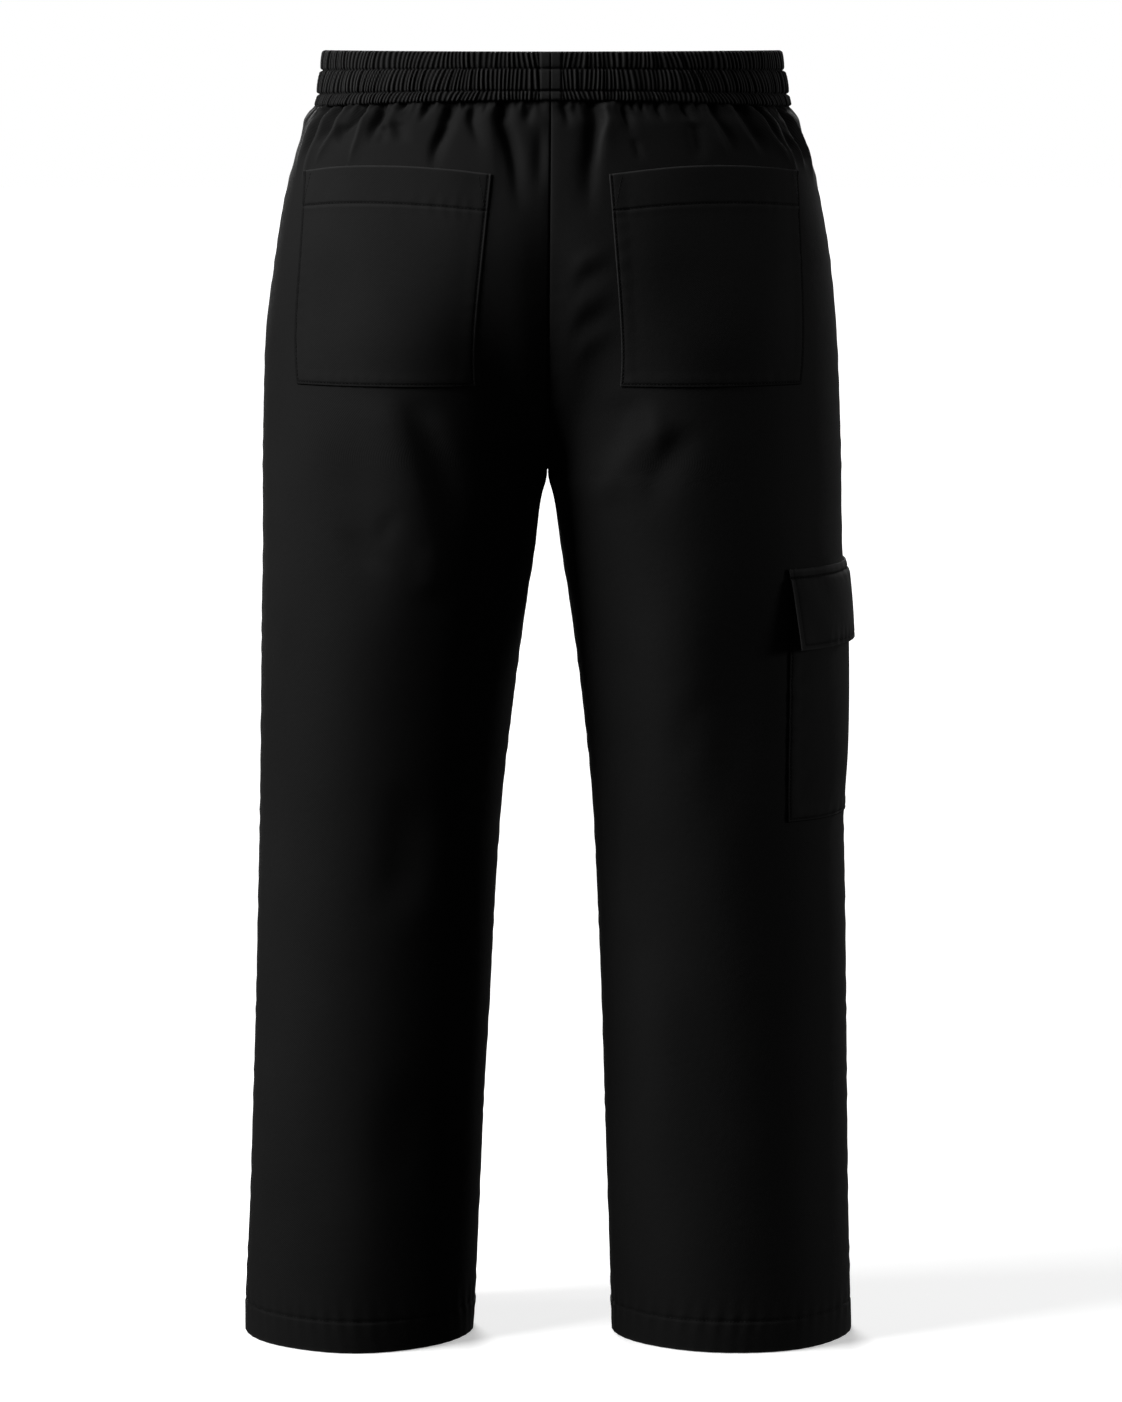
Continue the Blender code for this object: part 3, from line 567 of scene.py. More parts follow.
def twill(name, dark, light, wear_and_painted_light, wale_mm, wale_deep):
    """Black poly-cotton twill, piece-dyed: a close 2/1 weave that scatters nearly all it reflects, with a
    faint soft sheen from its raised fibres, slightly cloudy dye, and fibre flecks. A mark on each point
    mixes in a paler colour above 0, for wear along folded edges and for painted highlights on crease
    crests, pocket and flap edges and the waistband's ridges, and below 0 paints shade, down to near
    black with no specular reflection, along rows of stitches, at pocket borders and in the waistband's
    valleys.
    Its diagonal wales are about 0.6 mm apart; they are drawn wider, because that is too fine to show."""
    material = bpy.data.materials.new(name)
    material.use_nodes = True
    tree = material.node_tree
    surface = tree.nodes["Principled BSDF"]
    surface.inputs["Roughness"].default_value = 0.82
    surface.inputs["IOR"].default_value = 1.45
    surface.inputs["Sheen Weight"].default_value = 0.03
    surface.inputs["Sheen Roughness"].default_value = 0.45
    surface.inputs["Sheen Tint"].default_value = linear("#909090")
    weave = node(tree, "ShaderNodeUVMap", uv_map="cloth")
    place = node(tree, "ShaderNodeTexCoord")
    cloudy = node(tree, "ShaderNodeTexNoise", [(place.outputs["Object"], "Vector")], Scale=9.0, Detail=5.0)
    flecks = node(tree, "ShaderNodeTexNoise", [(weave.outputs["UV"], "Vector")], Scale=900.0, Detail=2.0)
    shade = node(tree, "ShaderNodeMapRange", [(cloudy.outputs["Fac"], "Value")], From_Min=0.3, From_Max=0.7)
    dyed = node(tree, "ShaderNodeMix", [(shade.outputs["Result"], "Factor")], data_type="RGBA")
    dyed.inputs[6].default_value = linear(dark)
    dyed.inputs[7].default_value = linear(light)
    links = [(flecks.outputs["Fac"], "Value")]
    fibre = node(tree, "ShaderNodeMapRange", links, From_Min=0.56, From_Max=0.9, To_Max=0.35)
    edge = node(tree, "ShaderNodeAttribute", attribute_name="wear_and_painted_light")
    rubbing_and_painted_light = node(tree, "ShaderNodeMath", [(edge.outputs["Fac"], "Value")], operation="MULTIPLY")
    rubbing_and_painted_light.inputs[1].default_value = 0.8
    paler = node(tree, "ShaderNodeMath", operation="MAXIMUM")
    tree.links.new(rubbing_and_painted_light.outputs["Value"], paler.inputs[0])
    tree.links.new(fibre.outputs["Result"], paler.inputs[1])
    # The paler colour mixed in: wear and painted highlights, or the fibre flecks where they are stronger.
    dye_with_painted_light = node(tree, "ShaderNodeMix", [(paler.outputs["Value"], "Factor")], data_type="RGBA")
    tree.links.new(dyed.outputs[2], dye_with_painted_light.inputs[6])
    dye_with_painted_light.inputs[7].default_value = linear(wear_and_painted_light)
    # Painted shade: below 0 the mark takes the colour down to near black.
    deep = node(tree, "ShaderNodeMapRange", [(edge.outputs["Fac"], "Value")], From_Min=0.0, From_Max=-1.0)
    colour = node(tree, "ShaderNodeMix", [(deep.outputs["Result"], "Factor")], data_type="RGBA")
    tree.links.new(dye_with_painted_light.outputs[2], colour.inputs[6])
    colour.inputs[7].default_value = linear("#010101")
    tree.links.new(colour.outputs[2], surface.inputs["Base Color"])
    # Specular reflection fades out with the painted shade, so that the shade stays dark.
    links = [(edge.outputs["Fac"], "Value")]
    shine = node(tree, "ShaderNodeMapRange", links, From_Min=-1.0, From_Max=0.0, To_Max=0.10)
    tree.links.new(shine.outputs["Result"], surface.inputs["Specular IOR Level"])
    turned = (0, 0, math.radians(52))
    slant = node(tree, "ShaderNodeMapping", [(weave.outputs["UV"], "Vector")], Rotation=turned)
    links = [(slant.outputs["Vector"], "Vector")]
    wales = node(tree, "ShaderNodeTexWave", links, Distortion=0.6, Detail=1.0, Detail_Scale=2.0)
    wales.inputs["Scale"].default_value = FULL / (20 * wale_mm * MM)
    links = [(wales.outputs["Fac"], "Height")]
    raised = node(tree, "ShaderNodeBump", links, Strength=0.5, Distance=wale_deep)
    nap = node(tree, "ShaderNodeTexNoise", [(weave.outputs["UV"], "Vector")], Scale=160.0, Detail=4.0)
    rumpled = node(tree, "ShaderNodeBump", [(nap.outputs["Fac"], "Height")], Strength=0.35, Distance=0.0006)
    tree.links.new(raised.outputs["Normal"], rumpled.inputs["Normal"])
    tree.links.new(rumpled.outputs["Normal"], surface.inputs["Normal"])
    return material


def spun_thread(name, dark, light):
    """Black spun polyester sewing thread: denser and deeper dyed than the cloth, so that the stitches read
    as a row of dark dashes, with the turns of its two plies across it."""
    material = bpy.data.materials.new(name)
    material.use_nodes = True
    tree = material.node_tree
    surface = tree.nodes["Principled BSDF"]
    surface.inputs["Roughness"].default_value = 0.55
    surface.inputs["IOR"].default_value = 1.5
    surface.inputs["Specular IOR Level"].default_value = 0.12
    place = node(tree, "ShaderNodeTexCoord")
    plies = node(tree, "ShaderNodeTexNoise", [(place.outputs["Object"], "Vector")], Scale=700.0, Detail=2.0)
    colour = node(tree, "ShaderNodeMix", [(plies.outputs["Fac"], "Factor")], data_type="RGBA")
    colour.inputs[6].default_value = linear(dark)
    colour.inputs[7].default_value = linear(light)
    tree.links.new(colour.outputs[2], surface.inputs["Base Color"])
    twist = node(tree, "ShaderNodeBump", [(plies.outputs["Fac"], "Height")], Strength=0.4, Distance=0.0002)
    tree.links.new(twist.outputs["Normal"], surface.inputs["Normal"])
    return material


def add_piece(name, mesh, material):
    """A piece of the garment, riding on its one body."""
    mesh.materials.append(material)
    piece = bpy.data.objects.new(name, mesh)
    bpy.context.scene.collection.objects.link(piece)
    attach(piece, "root")
    return piece


def grid_cloth(name, points, cloth, wear_and_painted_light, material, outer, thick=0.0, ring=False):
    """A piece from a grid of points, rows by columns; a ring is closed both ways. "cloth" is the place on
    the flat cloth, in metres, kept as the UV map, with one more row and column on a ring. The mark given
    for each point is kept for the twill: wear and painted highlights above 0, painted shade below 0.
    Faces are turned to look along "outer"."""
    rows, columns = points.shape[:2]
    index = np.arange(rows * columns).reshape(rows, columns)
    if ring:
        index = np.pad(index, ((0, 1), (0, 1)), mode="wrap")
    on_flat = np.arange(index.size).reshape(index.shape)
    corners = []
    for grid in (index, on_flat):
        quads = np.stack([grid[:-1, :-1], grid[1:, :-1], grid[1:, 1:], grid[:-1, 1:]], axis=-1)
        corners.append(quads.reshape(-1, 4))
    looks = np.cross(points[1:, :-1] - points[:-1, :-1], points[:-1, 1:] - points[:-1, :-1])
    if (looks * outer[:-1, :-1]).sum() < 0:
        corners = [quads[:, ::-1] for quads in corners]
    mesh = bpy.data.meshes.new(name)
    mesh.from_pydata(points.reshape(-1, 3).tolist(), [], corners[0].tolist())
    mesh.shade_smooth()
    flat = mesh.uv_layers.new(name="cloth")
    flat.data.foreach_set("uv", cloth.reshape(-1, 2)[corners[1].reshape(-1)].astype(np.float32).ravel())
    rubbing_and_painted_light = mesh.attributes.new("wear_and_painted_light", "FLOAT", "POINT")
    rubbing_and_painted_light.data.foreach_set("value", np.broadcast_to(wear_and_painted_light, (rows, columns)).astype(np.float32).ravel())
    piece = add_piece(name, mesh, material)
    if thick:
        wall = piece.modifiers.new("wall", "SOLIDIFY")
        wall.thickness = thick
        wall.offset = -1.0
    return piece


def runs(*spans):
    """Numbers in runs of (from, to, about how far apart), joined end to end."""
    parts = []
    for start, stop, step in spans:
        parts.append(np.linspace(start, stop, max(2, round(abs(stop - start) / step) + 1))[:-1])
    return np.concatenate(parts + [[spans[-1][1]]])


# ------------------------------------------------------------------------------------------- the panels

# Distances from a seam where the columns lie, close together over the rounded edge.
EDGE_SPOTS = (0.0, 0.0006, 0.0012, 0.0020, 0.0030, 0.0045, 0.0065, 0.0090)
PANEL_MIDDLE_COLUMNS = {True: 216, False: 150}
SEAM_ROUND = 0.0016
SEAM_ALLOWANCE = (0.0026, 0.0048)
SEAM_PRESSED = (0.0020, 0.0100)
INSEAM_FULLER = {LEFT: 0.0018, RIGHT: 0.0009}
TYPICAL_GIRTH = 0.30
SEAT_SEAM_DRAWN, WAIST_DRAWN, WAIST_SWELLS = 0.0040, 0.0010, 0.0030
APART = 0.0001


def panel_columns(back):
    """Shares of the way round; how far each column is sunk besides, as the seam allowances are turned in
    at each end; and how far those are pressed over to one side, at the centre and at the side seam."""
    spots = np.array(EDGE_SPOTS) / TYPICAL_GIRTH
    middle = np.linspace(spots[-1], 1 - spots[-1], PANEL_MIDDLE_COLUMNS[back])[1:-1]
    half_edge = np.concatenate([[0.0, 0.0], spots])
    shares = np.concatenate([half_edge, middle, 1 - half_edge[::-1]])
    sunk, at_centre, at_side = np.zeros((3, len(shares)))
    sunk[:2] = SEAM_ALLOWANCE[::-1]
    sunk[-2:] = SEAM_ALLOWANCE
    at_centre[:2] = SEAM_PRESSED[::-1]
    at_side[-2:] = SEAM_PRESSED
    return shares, sunk, at_centre, at_side


def panel_rows():
    """Levels of the rows, and how far each is sunk besides: the allowance that runs up inside the
    waistband, the leg, and the hem turned up inside it."""
    main = runs(
        (WAIST_SEAM - 0.0040, 0.0240, 0.0008),
        (0.0240, 0.0800, 0.0014),
        (0.0800, 0.1500, 0.0022),
        (0.1500, 0.3000, 0.0040),
        (0.3000, 0.3350, 0.0022),
        (0.3350, 0.6500, 0.0052),
        (0.6500, HEM - HEM_DEEP - 0.006, 0.0072),
        (HEM - HEM_DEEP - 0.006, HEM - HEM_DEEP + 0.005, 0.0010),
        (HEM - HEM_DEEP + 0.005, HEM - 0.002, 0.0030),
        (HEM - 0.002, HEM, 0.0010),
    )
    up = np.array([HEM, HEM - 0.0006, HEM - 0.008, HEM - 0.017, HEM - HEM_DEEP + 0.001])
    sunk = np.concatenate([0 * main, [0.0012, 0.0024, 0.0026, 0.0026, 0.0026]])
    return np.concatenate([main, up]), sunk


def hem_relief(level, around):
    """The hem: a double layer that stands out a little, drawn in along its row of stitches, and slightly
    rucked beside it. Short waves run on the slant where the feed has dragged the upper layer."""
    above = level - (HEM - HEM_DEEP)
    double = 0.0005 * ease((above + 0.001) / 0.003)
    drawn = -0.0006 * bell(above, 0.0016)
    rucked = 0.00032 * np.sin(around * FULL / 0.0135 + above * 90 + 2.0 * np.sin(around * 31))
    return double + drawn + rucked * (bell(above, 0.012) + 0.5 * bell(above - HEM_DEEP, 0.006))


def seam_relief(level, from_seam, beside):
    """The cloth beside a seam: its edge rounds in over the first millimetres, and short ruckles run in
    from it, uneven in size. "beside" is how strongly they show."""
    short = np.clip(1 - from_seam / SEAM_ROUND, 0, 1)
    rounded = -SEAM_ROUND * (1 - np.sqrt(1 - short**2))
    valley = -0.0007 * bell(from_seam, 0.0040)
    wave = np.sin(level * FULL / 0.021 + 2.4 * np.sin(level * 37)) * (0.6 + 0.4 * np.sin(level * 83))
    return rounded + valley + beside * 0.0007 * wave * bell(from_seam - 0.006, 0.008)


def make_panel(side, back, name, material):
    """A trouser panel: the plain form moved out by its folds, with its edges turned in at every seam. The
    seat's centre seam is drawn in as a bell curve, and so is the cloth at the waist seam, below which it
    swells beside the side seams. The legs are a little fuller at the inseam than the solids."""
    shares, column_sunk, at_centre, at_side = panel_columns(back)
    levels, row_sunk = panel_rows()
    level = levels[:, None] + 0 * shares
    share = shares + 0 * levels[:, None]
    whole = girth(side, back, level)
    around = share * whole
    inner = seam_relief(level, around, 0.45 * ease((level - 0.10) / 0.1))
    below_crotch = level - CROTCH + 0.004
    inner = inner * (1 - 0.8 * bell(np.maximum(below_crotch, 0), 0.060) * (below_crotch > 0))
    if back:
        seat = ease((level - 0.07) / 0.09) * ease((0.312 - level) / 0.05)
        inner = inner - SEAT_SEAM_DRAWN * bell(around, 0.017) * seat
    fuller = INSEAM_FULLER[side] * bell(around, 0.050) * ease((level - CROTCH - 0.015) / 0.060)
    inner = inner + fuller * (0.45 + 0.55 * ease((HEM - level) / 0.18))
    outer = seam_relief(level + 0.4, whole - around, 0.5)
    below_waist = level - WAIST_SEAM
    drawn_in = -WAIST_DRAWN * bell(np.maximum(below_waist, 0), 0.0022)
    drawn_in = drawn_in + WAIST_SWELLS * bell(below_waist - 0.006, 0.011) * bell(whole - around, 0.040)
    relief = inner + outer + drawn_in + hem_relief(level, around) - column_sunk - row_sunk[:, None]
    points, normal = on_cloth(side, back, level, share, relief)
    points = points + np.array([side, 1 if back else -1, 0]) * APART
    in_leg = ease(below_crotch / 0.008)[..., None]
    towards = in_leg * np.array([0, 1, 0]) + (1 - in_leg) * np.array([-1, 0, 0])
    points = points + at_centre[:, None] * towards + at_side[:, None] * np.array([0, 1, 0])
    # Wear along the hem's folded edge and the seam edges.
    hem_edge = bell(level - HEM, 0.0016) * (row_sunk[:, None] < 0.002)
    wear_and_painted_light = np.maximum(0.6 * hem_edge, 0.2 * bell(np.minimum(around, whole - around) - 0.001, 0.0015))
    # A painted highlight along the crests of creased folds, where they catch the light, with some rubbing of
    # the fibres.
    wear_and_painted_light = np.maximum(wear_and_painted_light, 0.8 * creased(side, back, level, share))
    # Painted shade along the hem's row of stitches.
    wear_and_painted_light = wear_and_painted_light - 0.25 * bell(level - HEM + HEM_DEEP, 0.0009)
    flat = np.stack([around, level], axis=-1)
    return grid_cloth(name, points, flat, wear_and_painted_light, material, normal)


# ----------------------------------------------------------------------------------------- the waistband

# Channels from the top edge down, at the centre back and at the side: where each ends, as a share of the
# height, and how far it swells. Leans are how far its ridges run outwards on the way down, in metres.
CHANNEL_ENDS_BACK = (0.0, 0.345, 0.795, 1.0)
CHANNEL_ENDS_SIDE = (0.0, 0.36, 0.78, 1.0)
CHANNEL_SWELLS = (0.0010, 0.0015, 0.0008)
CHANNEL_LEANS = (0.0022, 0.0044, 0.0036)
RIDGES = 324
POINTS_A_RIDGE = 8
RIDGE_PITCH = (0.0038, 0.0034, 0.0033)
RIDGE_HIGH = 0.0023
BLOCK_HALF = 0.0082
BAND_WALL, BAND_WIDER_RIGHT = 0.0036, 0.0024


def band_ring(angle, share, lift):
    """Points of the waistband by angle round the whole waist, share of its height from the top, and how
    far they stand out, and its outward directions. It stands upright on the waist's outline."""
    side = np.where(angle <= HALF, LEFT, RIGHT)
    turn = np.where(angle <= HALF, angle, FULL - angle)
    top = waist_tilt(turn, BAND_FALL_BACK, BAND_FALL_FRONT) - BAND_TOP
    down = top + share * (seam_level(turn) - top)
    points, facings = 0, 0
    for one in (LEFT, RIGHT):
        facing = outward(one, np.full_like(down, WAIST_SEAM), turn)
        facing[..., 2] = 0
        facing = unit(facing)
        here = (side == one)[..., None]
        points = points + (plain_points(one, down, turn) + facing * lift[..., None]) * here
        facings = facings + facing * here
    return points, facings


def band_rows():
    """Height shares of the waistband's rows: down the outer face, closest at the stitches and edges, then
    up the plainer inner face."""
    outer = runs(
        (0.0, 0.06, 0.02),
        (0.06, 0.30, 0.06),
        (0.30, 0.40, 0.020),
        (0.40, 0.74, 0.068),
        (0.74, 0.84, 0.020),
        (0.84, 0.96, 0.040),
        (0.96, 1.0, 0.02),
    )
    inner = runs((1.0, 0.9, 0.05), (0.9, 0.1, 0.2), (0.1, 0.0, 0.05))
    return np.concatenate([outer, inner]), np.concatenate([0 * outer, 0 * inner + 1])


def channel_ridges(signed, within, row):
    """Shirred ridges of one channel, from 0 in a valley to 1 on the highest crest, and the painted light
    on them: a painted highlight on each crest and painted shade, below 0, in the valleys. Sines in the
    phase make their spacing wander and fan them in or out on the way down, each ridge has its own height,
    and its top is rounder than its valleys, as a power of a sine. They run outwards on the way down."""
    lean = CHANNEL_LEANS[row] * (2 * within - within**2) * ease(np.abs(signed) / 0.16)
    spot = signed - np.sign(signed) * lean
    wander = 0.9 * np.sin(spot / 0.0061 + row) + 1.2 * np.sin(spot / 0.0147 + 2.1 * row)
    fan = (1.5 * np.sin(spot / 0.0093 + 2.0 * row) + 1.1 * np.sin(spot / 0.0237 + row)) * (within - 0.5)
    phase = HALF * spot / RIDGE_PITCH[row] + wander + fan + 1.6 * np.sin(spot / 0.041 + 4.0 * row) + row
    heights = (0.20 + 0.80 * scatter(97, 40 + row))[np.floor(phase / HALF).astype(int) % 97]
    wave = np.abs(np.sin(phase))
    return wave**0.75 * heights, 1.3 * wave**4 * (0.5 + 0.6 * heights) - 0.9 * (1 - wave) ** 1.2


def band_relief(signed, angle, share):
    """How far the waistband's outer face stands out, by distance from the centre back; its swell and its
    ridges by themselves; and its painted light: a painted highlight on the crests and painted shade in the
    valleys, fainter by the stitched grooves, with the plain block an even paler tone. Two rows of stitches
    part it into three channels of ridges, which swell as a power of a half sine. A plain block covers the
    join at the centre back."""
    from_back = np.abs(signed)
    sideness = np.abs(np.sin(angle))[..., None]
    ends = np.array(CHANNEL_ENDS_BACK) * (1 - sideness) + np.array(CHANNEL_ENDS_SIDE) * sideness
    swell, groove, ridges, rubbing_and_painted_light = 0.0, 0.0, 0.0, 0.0
    for row in range(3):
        first, last = ends[..., row], ends[..., row + 1]
        within = np.clip((share - first) / (last - first), 0, 1)
        begun = ease((share - first) / 0.03 + (0.5 if row else 9))
        here = begun - ease((share - last) / 0.03 + (0.5 if row < 2 else -9))
        swell = swell + CHANNEL_SWELLS[row] * np.sin(HALF * within) ** 0.5
        groove = np.maximum(groove, bell(share - last, 0.020))
        shape, crest_highlight_valley_shade = channel_ridges(signed, within, row)
        ridges, rubbing_and_painted_light = ridges + here * shape, rubbing_and_painted_light + here * crest_highlight_valley_shade
    plain = ease((from_back - BLOCK_HALF) / 0.0022) * ease((BAND_ROUND / 2 - from_back) / 0.004)
    ridges = ridges * plain
    block = -0.0013 * bell(from_back - BLOCK_HALF - 0.0006, 0.0009) - 0.0011 * bell(from_back, 0.0006)
    block = block + (1 - plain) * (0.0006 - 0.0012 * groove)
    relief = swell - 0.0013 * groove + RIDGE_HIGH * (ridges - 0.5 * plain) * (1 - 0.45 * groove) + block
    return relief, swell, ridges, rubbing_and_painted_light * plain * (1 - 0.6 * groove) + 0.5 * (1 - plain)


def band_length():
    """Angles round the waist, and the distance round to each."""
    fine = np.linspace(0, FULL, 2881)
    ring, _ = band_ring(fine, 0 * fine + 0.5, 0 * fine)
    steps = np.linalg.norm(np.diff(ring, axis=0), axis=1)
    return fine, np.concatenate([[0], np.cumsum(steps)])


BAND_ANGLES, BAND_DISTANCES = band_length()
BAND_ROUND = BAND_DISTANCES[-1]


def make_waistband(material):
    """The waistband: one closed ring of cloth round the elastic, plainer inside, its edges rounded."""
    shares, inside = band_rows()
    count = RIDGES * POINTS_A_RIDGE
    spots = np.arange(count + 1) / count * BAND_ROUND
    share, spot = shares[:, None] + 0 * spots[:-1], spots[:-1] + 0 * shares[:, None]
    angle = np.interp(spot, BAND_DISTANCES, BAND_ANGLES)
    signed = np.where(spot < BAND_ROUND / 2, spot, spot - BAND_ROUND)
    outer, swell, ridges, rubbing_and_painted_light = band_relief(signed, angle, share)
    at_top, at_foot = np.clip(1 - share / 0.05, 0, 1), np.clip(1 - (1 - share) / 0.03, 0, 1)
    rounded = 0.0016 * (1 - np.sqrt(1 - at_top**2)) + 0.0004 * (1 - np.sqrt(1 - at_foot**2))
    inner = -BAND_WALL - 0.4 * swell - 0.0012 * ridges + rounded
    wider = BAND_WIDER_RIGHT * np.sin(angle) ** 2 * (angle > HALF)
    lift = np.where(inside[:, None] > 0, inner, outer - rounded) + wider
    points, facing = band_ring(angle, share, lift)
    looks = np.where(inside[:, None, None] > 0, -facing, facing)
    height = np.cumsum(np.abs(np.diff(np.append(shares, shares[0])))) * 0.045
    down = np.concatenate([[0], height])
    flat = np.stack([spots * BAND_FULLNESS + 0 * down[:, None], down[:, None] + 0 * spots], axis=-1)
    # The outer face takes the ridges' painted highlight and shade, the inner face an even paler tone.
    wear_and_painted_light = rubbing_and_painted_light * (1 - inside[:, None]) + 0.4 * inside[:, None]
    piece = grid_cloth("waistband_cloth", points, flat, wear_and_painted_light, material, looks, ring=True)
    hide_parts("waistband")


# ------------------------------------------------------------------------------------------- the pockets

# How far in from the edge each row of stitches lies, and how far the flap's free edge stands off at its
# middle and at its ends.
SEAT_POCKET_STITCH, CARGO_STITCH = 0.0023, 0.0024
FLAP_STITCH, FLAP_EDGE_STITCH = 0.0070, 0.0045
FLAP_STANDS = (0.0042, 0.0100)
PATCH_STEP = 0.0024
PATCH_EDGE = (0.0, 0.0003, 0.0007, 0.0012, 0.0018, 0.0024, 0.0031, 0.0042, 0.0060, 0.0085, 0.0115)


def patch_spots(length, middle_step, fine=()):
    """Distances along one side of a patch: close together over both turned edges and at each fine place."""
    edge = np.array(PATCH_EDGE)
    stops = [edge[-1], length - edge[-1]]
    spots = [edge, length - edge, runs((stops[0], stops[1], middle_step))]
    for place in fine:
        spots.append(place + np.array([-0.003, -0.0018, -0.001, -0.0004, 0.0002, 0.0008, 0.0016, 0.003]))
    spots = np.sort(np.concatenate(spots))
    return spots[np.concatenate([[True], np.diff(spots) > 0.00022])]


def turned_edge(from_edge, stitched):
    """How thick a turned and sewn-down edge is over the cloth below, by distance in from it: a quick round
    rise, a dent at its row of stitches, and one layer less past the turning."""
    short = np.clip(1 - from_edge / 0.0008, 0, 1)
    rise = 0.0009 + 0.0006 * np.sqrt(1 - short**2)
    past = -0.0004 * ease((from_edge - 0.0085) / 0.003)
    return rise + past - 0.0006 * bell(from_edge - stitched, 0.0007)


def ruckles(along, from_edge, high, seed):
    """Short ruckles beside a sewn edge, running in from it on the slant."""
    wave = np.sin(along * FULL / 0.0125 + from_edge * 120 + 2.2 * np.sin(along * 61 + seed))
    return high * wave * (0.55 + 0.45 * np.sin(along * 47 + 2 * seed)) * bell(from_edge - 0.005, 0.007)


def seat_pocket_surface(side, across, below):
    """The outer surface of a seat pocket. "across" is a share of its width from the inner edge, "below" a
    distance down from its mouth. Its mouth is arched as a half sine and its sides slant."""
    part_way = below / POCKET_DEEP
    first = POCKET_INNER[0] + part_way * (POCKET_INNER[1] - POCKET_INNER[0])
    last = POCKET_OUTER[0] + part_way * (POCKET_OUTER[1] - POCKET_OUTER[0])
    raised = POCKET_MOUTH_RISE * np.sin(HALF * across) + POCKET_MOUTH_SLANT * across
    level = POCKET_TOP + below - raised * ease(1 - part_way * 1.6)
    around = first + across * (last - first)
    from_side = np.minimum(across, 1 - across) * (last - first)
    from_foot = POCKET_DEEP - below
    sewn = np.minimum(from_side, from_foot)
    slack = 1 - np.exp(-((sewn / 0.022) ** 2))
    full = 0.0016 * slack * (0.6 + 0.4 * np.cos(HALF * part_way / 2))
    mouth = 0.0010 * np.sin(HALF * across) * bell(below, 0.014)
    mouth = mouth + 0.0005 * (1 - ease((below - POCKET_HEM) / 0.003))
    mouth_edge = -0.0009 * np.clip(1 - below / 0.0010, 0, 1) ** 2
    past_hem = below - POCKET_HEM
    hem_dent = -0.0008 * bell(past_hem, 0.0008) + 0.0004 * bell(past_hem - 0.0025, 0.0018)
    by_hem = ruckles(around, np.abs(past_hem) + 0.004, 0.00030, 1.0 + side)
    by_sides = ruckles(level, from_side, 0.00025, 2.0 + side) + ruckles(around, from_foot, 0.00025, 3.0)
    drape = 0.0006 * np.sin(FULL * (1.3 * across + 0.8 * part_way) + side) * slack
    lift = turned_edge(sewn, SEAT_POCKET_STITCH) + full + mouth + mouth_edge + hem_dent
    lift = lift + by_hem + by_sides + drape
    share = around / girth(side, True, level)
    points, normal = on_cloth(side, True, level, share, lift)
    # Painted highlights: a thin pale line along the inner edge and a brighter one along the mouth, where
    # these edges catch the light.
    at_inner = (across < 0.5) * bell(from_side - 0.0006, 0.0008)
    wear_and_painted_light = np.maximum(at_inner, 1.2 * bell(below - 0.0005, 0.0008))
    # Painted shade: a dark line along the outer edge and the foot, for the shadow beside them, and along the
    # rows of stitches at the sides, foot and mouth's hem.
    sunk = np.maximum((across > 0.5) * bell(from_side, 0.0008), bell(from_foot, 0.0008))
    sunk = np.maximum(sunk, 0.8 * bell(sewn - SEAT_POCKET_STITCH, 0.0006))
    sunk = np.maximum(sunk, 0.7 * bell(past_hem, 0.0006))
    # A thin painted highlight just below the mouth's hem stitches.
    paler = 0.5 * bell(past_hem - 0.0021, 0.0009)
    return points, normal, np.stack([around, level], axis=-1), np.maximum(wear_and_painted_light, paler) - sunk


def leg_patch_points(behind, level, lift):
    """Points of a patch on the right leg, by distance behind the side seam, or before it below 0."""
    parts = []
    for back in (True, False):
        share = 1 - np.abs(behind) / girth(RIGHT, back, level)
        turn = turn_at(RIGHT, back, level, share)
        down = tilted(level, turn)
        normal = outward(RIGHT, down, turn)
        height = loose_folds(RIGHT, back, level, share) * ease(np.abs(behind) / 0.030) + lift
        parts.append((plain_points(RIGHT, down, turn) + normal * height[..., None], normal))
    at_back = (behind >= 0)[..., None]
    return tuple(np.where(at_back, from_back, from_front) for from_back, from_front in zip(*parts))


def cargo_pocket_surface(across, below):
    """The outer surface of the cargo pocket. "across" is a share of its width from its back edge."""
    part_way, from_foot = below / CARGO_DEEP, CARGO_DEEP - below
    first = CARGO_BEHIND - CARGO_NARROWS_BEHIND * part_way
    width = first + CARGO_BEFORE
    behind = first - across * width
    level = CARGO_TOP + below
    from_side = np.minimum(across, 1 - across) * width
    sewn = np.minimum(from_side, from_foot)
    slack = 1 - np.exp(-((sewn / 0.028) ** 2))
    full = 0.0030 * slack * (0.7 + 0.3 * np.sin(HALF * part_way))
    drape = 0.0009 * np.sin(FULL * (1.6 * across + 0.7 * part_way) + 0.4) * slack
    wave = np.sin(below * FULL / 0.031 + 3 * np.sin(across * 7))
    small = 0.0004 * wave * bell(from_side - 0.010, 0.010)
    lift = turned_edge(sewn, CARGO_STITCH) + full + drape + small
    lift = lift + ruckles(level, from_side, 0.00035, 5.0) + ruckles(behind, from_foot, 0.00035, 6.0)
    points, normal = leg_patch_points(behind, level, lift)
    # Painted light: the whole pocket painted a little paler, where it catches more light, with a thin
    # painted highlight just inside its edges and a faint paler band a centimetre in from each side.
    wear_and_painted_light = 0.12 + 0.30 * bell(sewn - 0.0012, 0.0008) + 0.15 * bell(from_side - 0.012, 0.009)
    # Painted shade along the very edge, for the shadow beside it, and along the row of stitches.
    sunk = np.maximum(bell(sewn, 0.0008), 0.8 * bell(sewn - CARGO_STITCH, 0.0006))
    return points, normal, np.stack([behind, level], axis=-1), wear_and_painted_light * (1 - sunk) - sunk


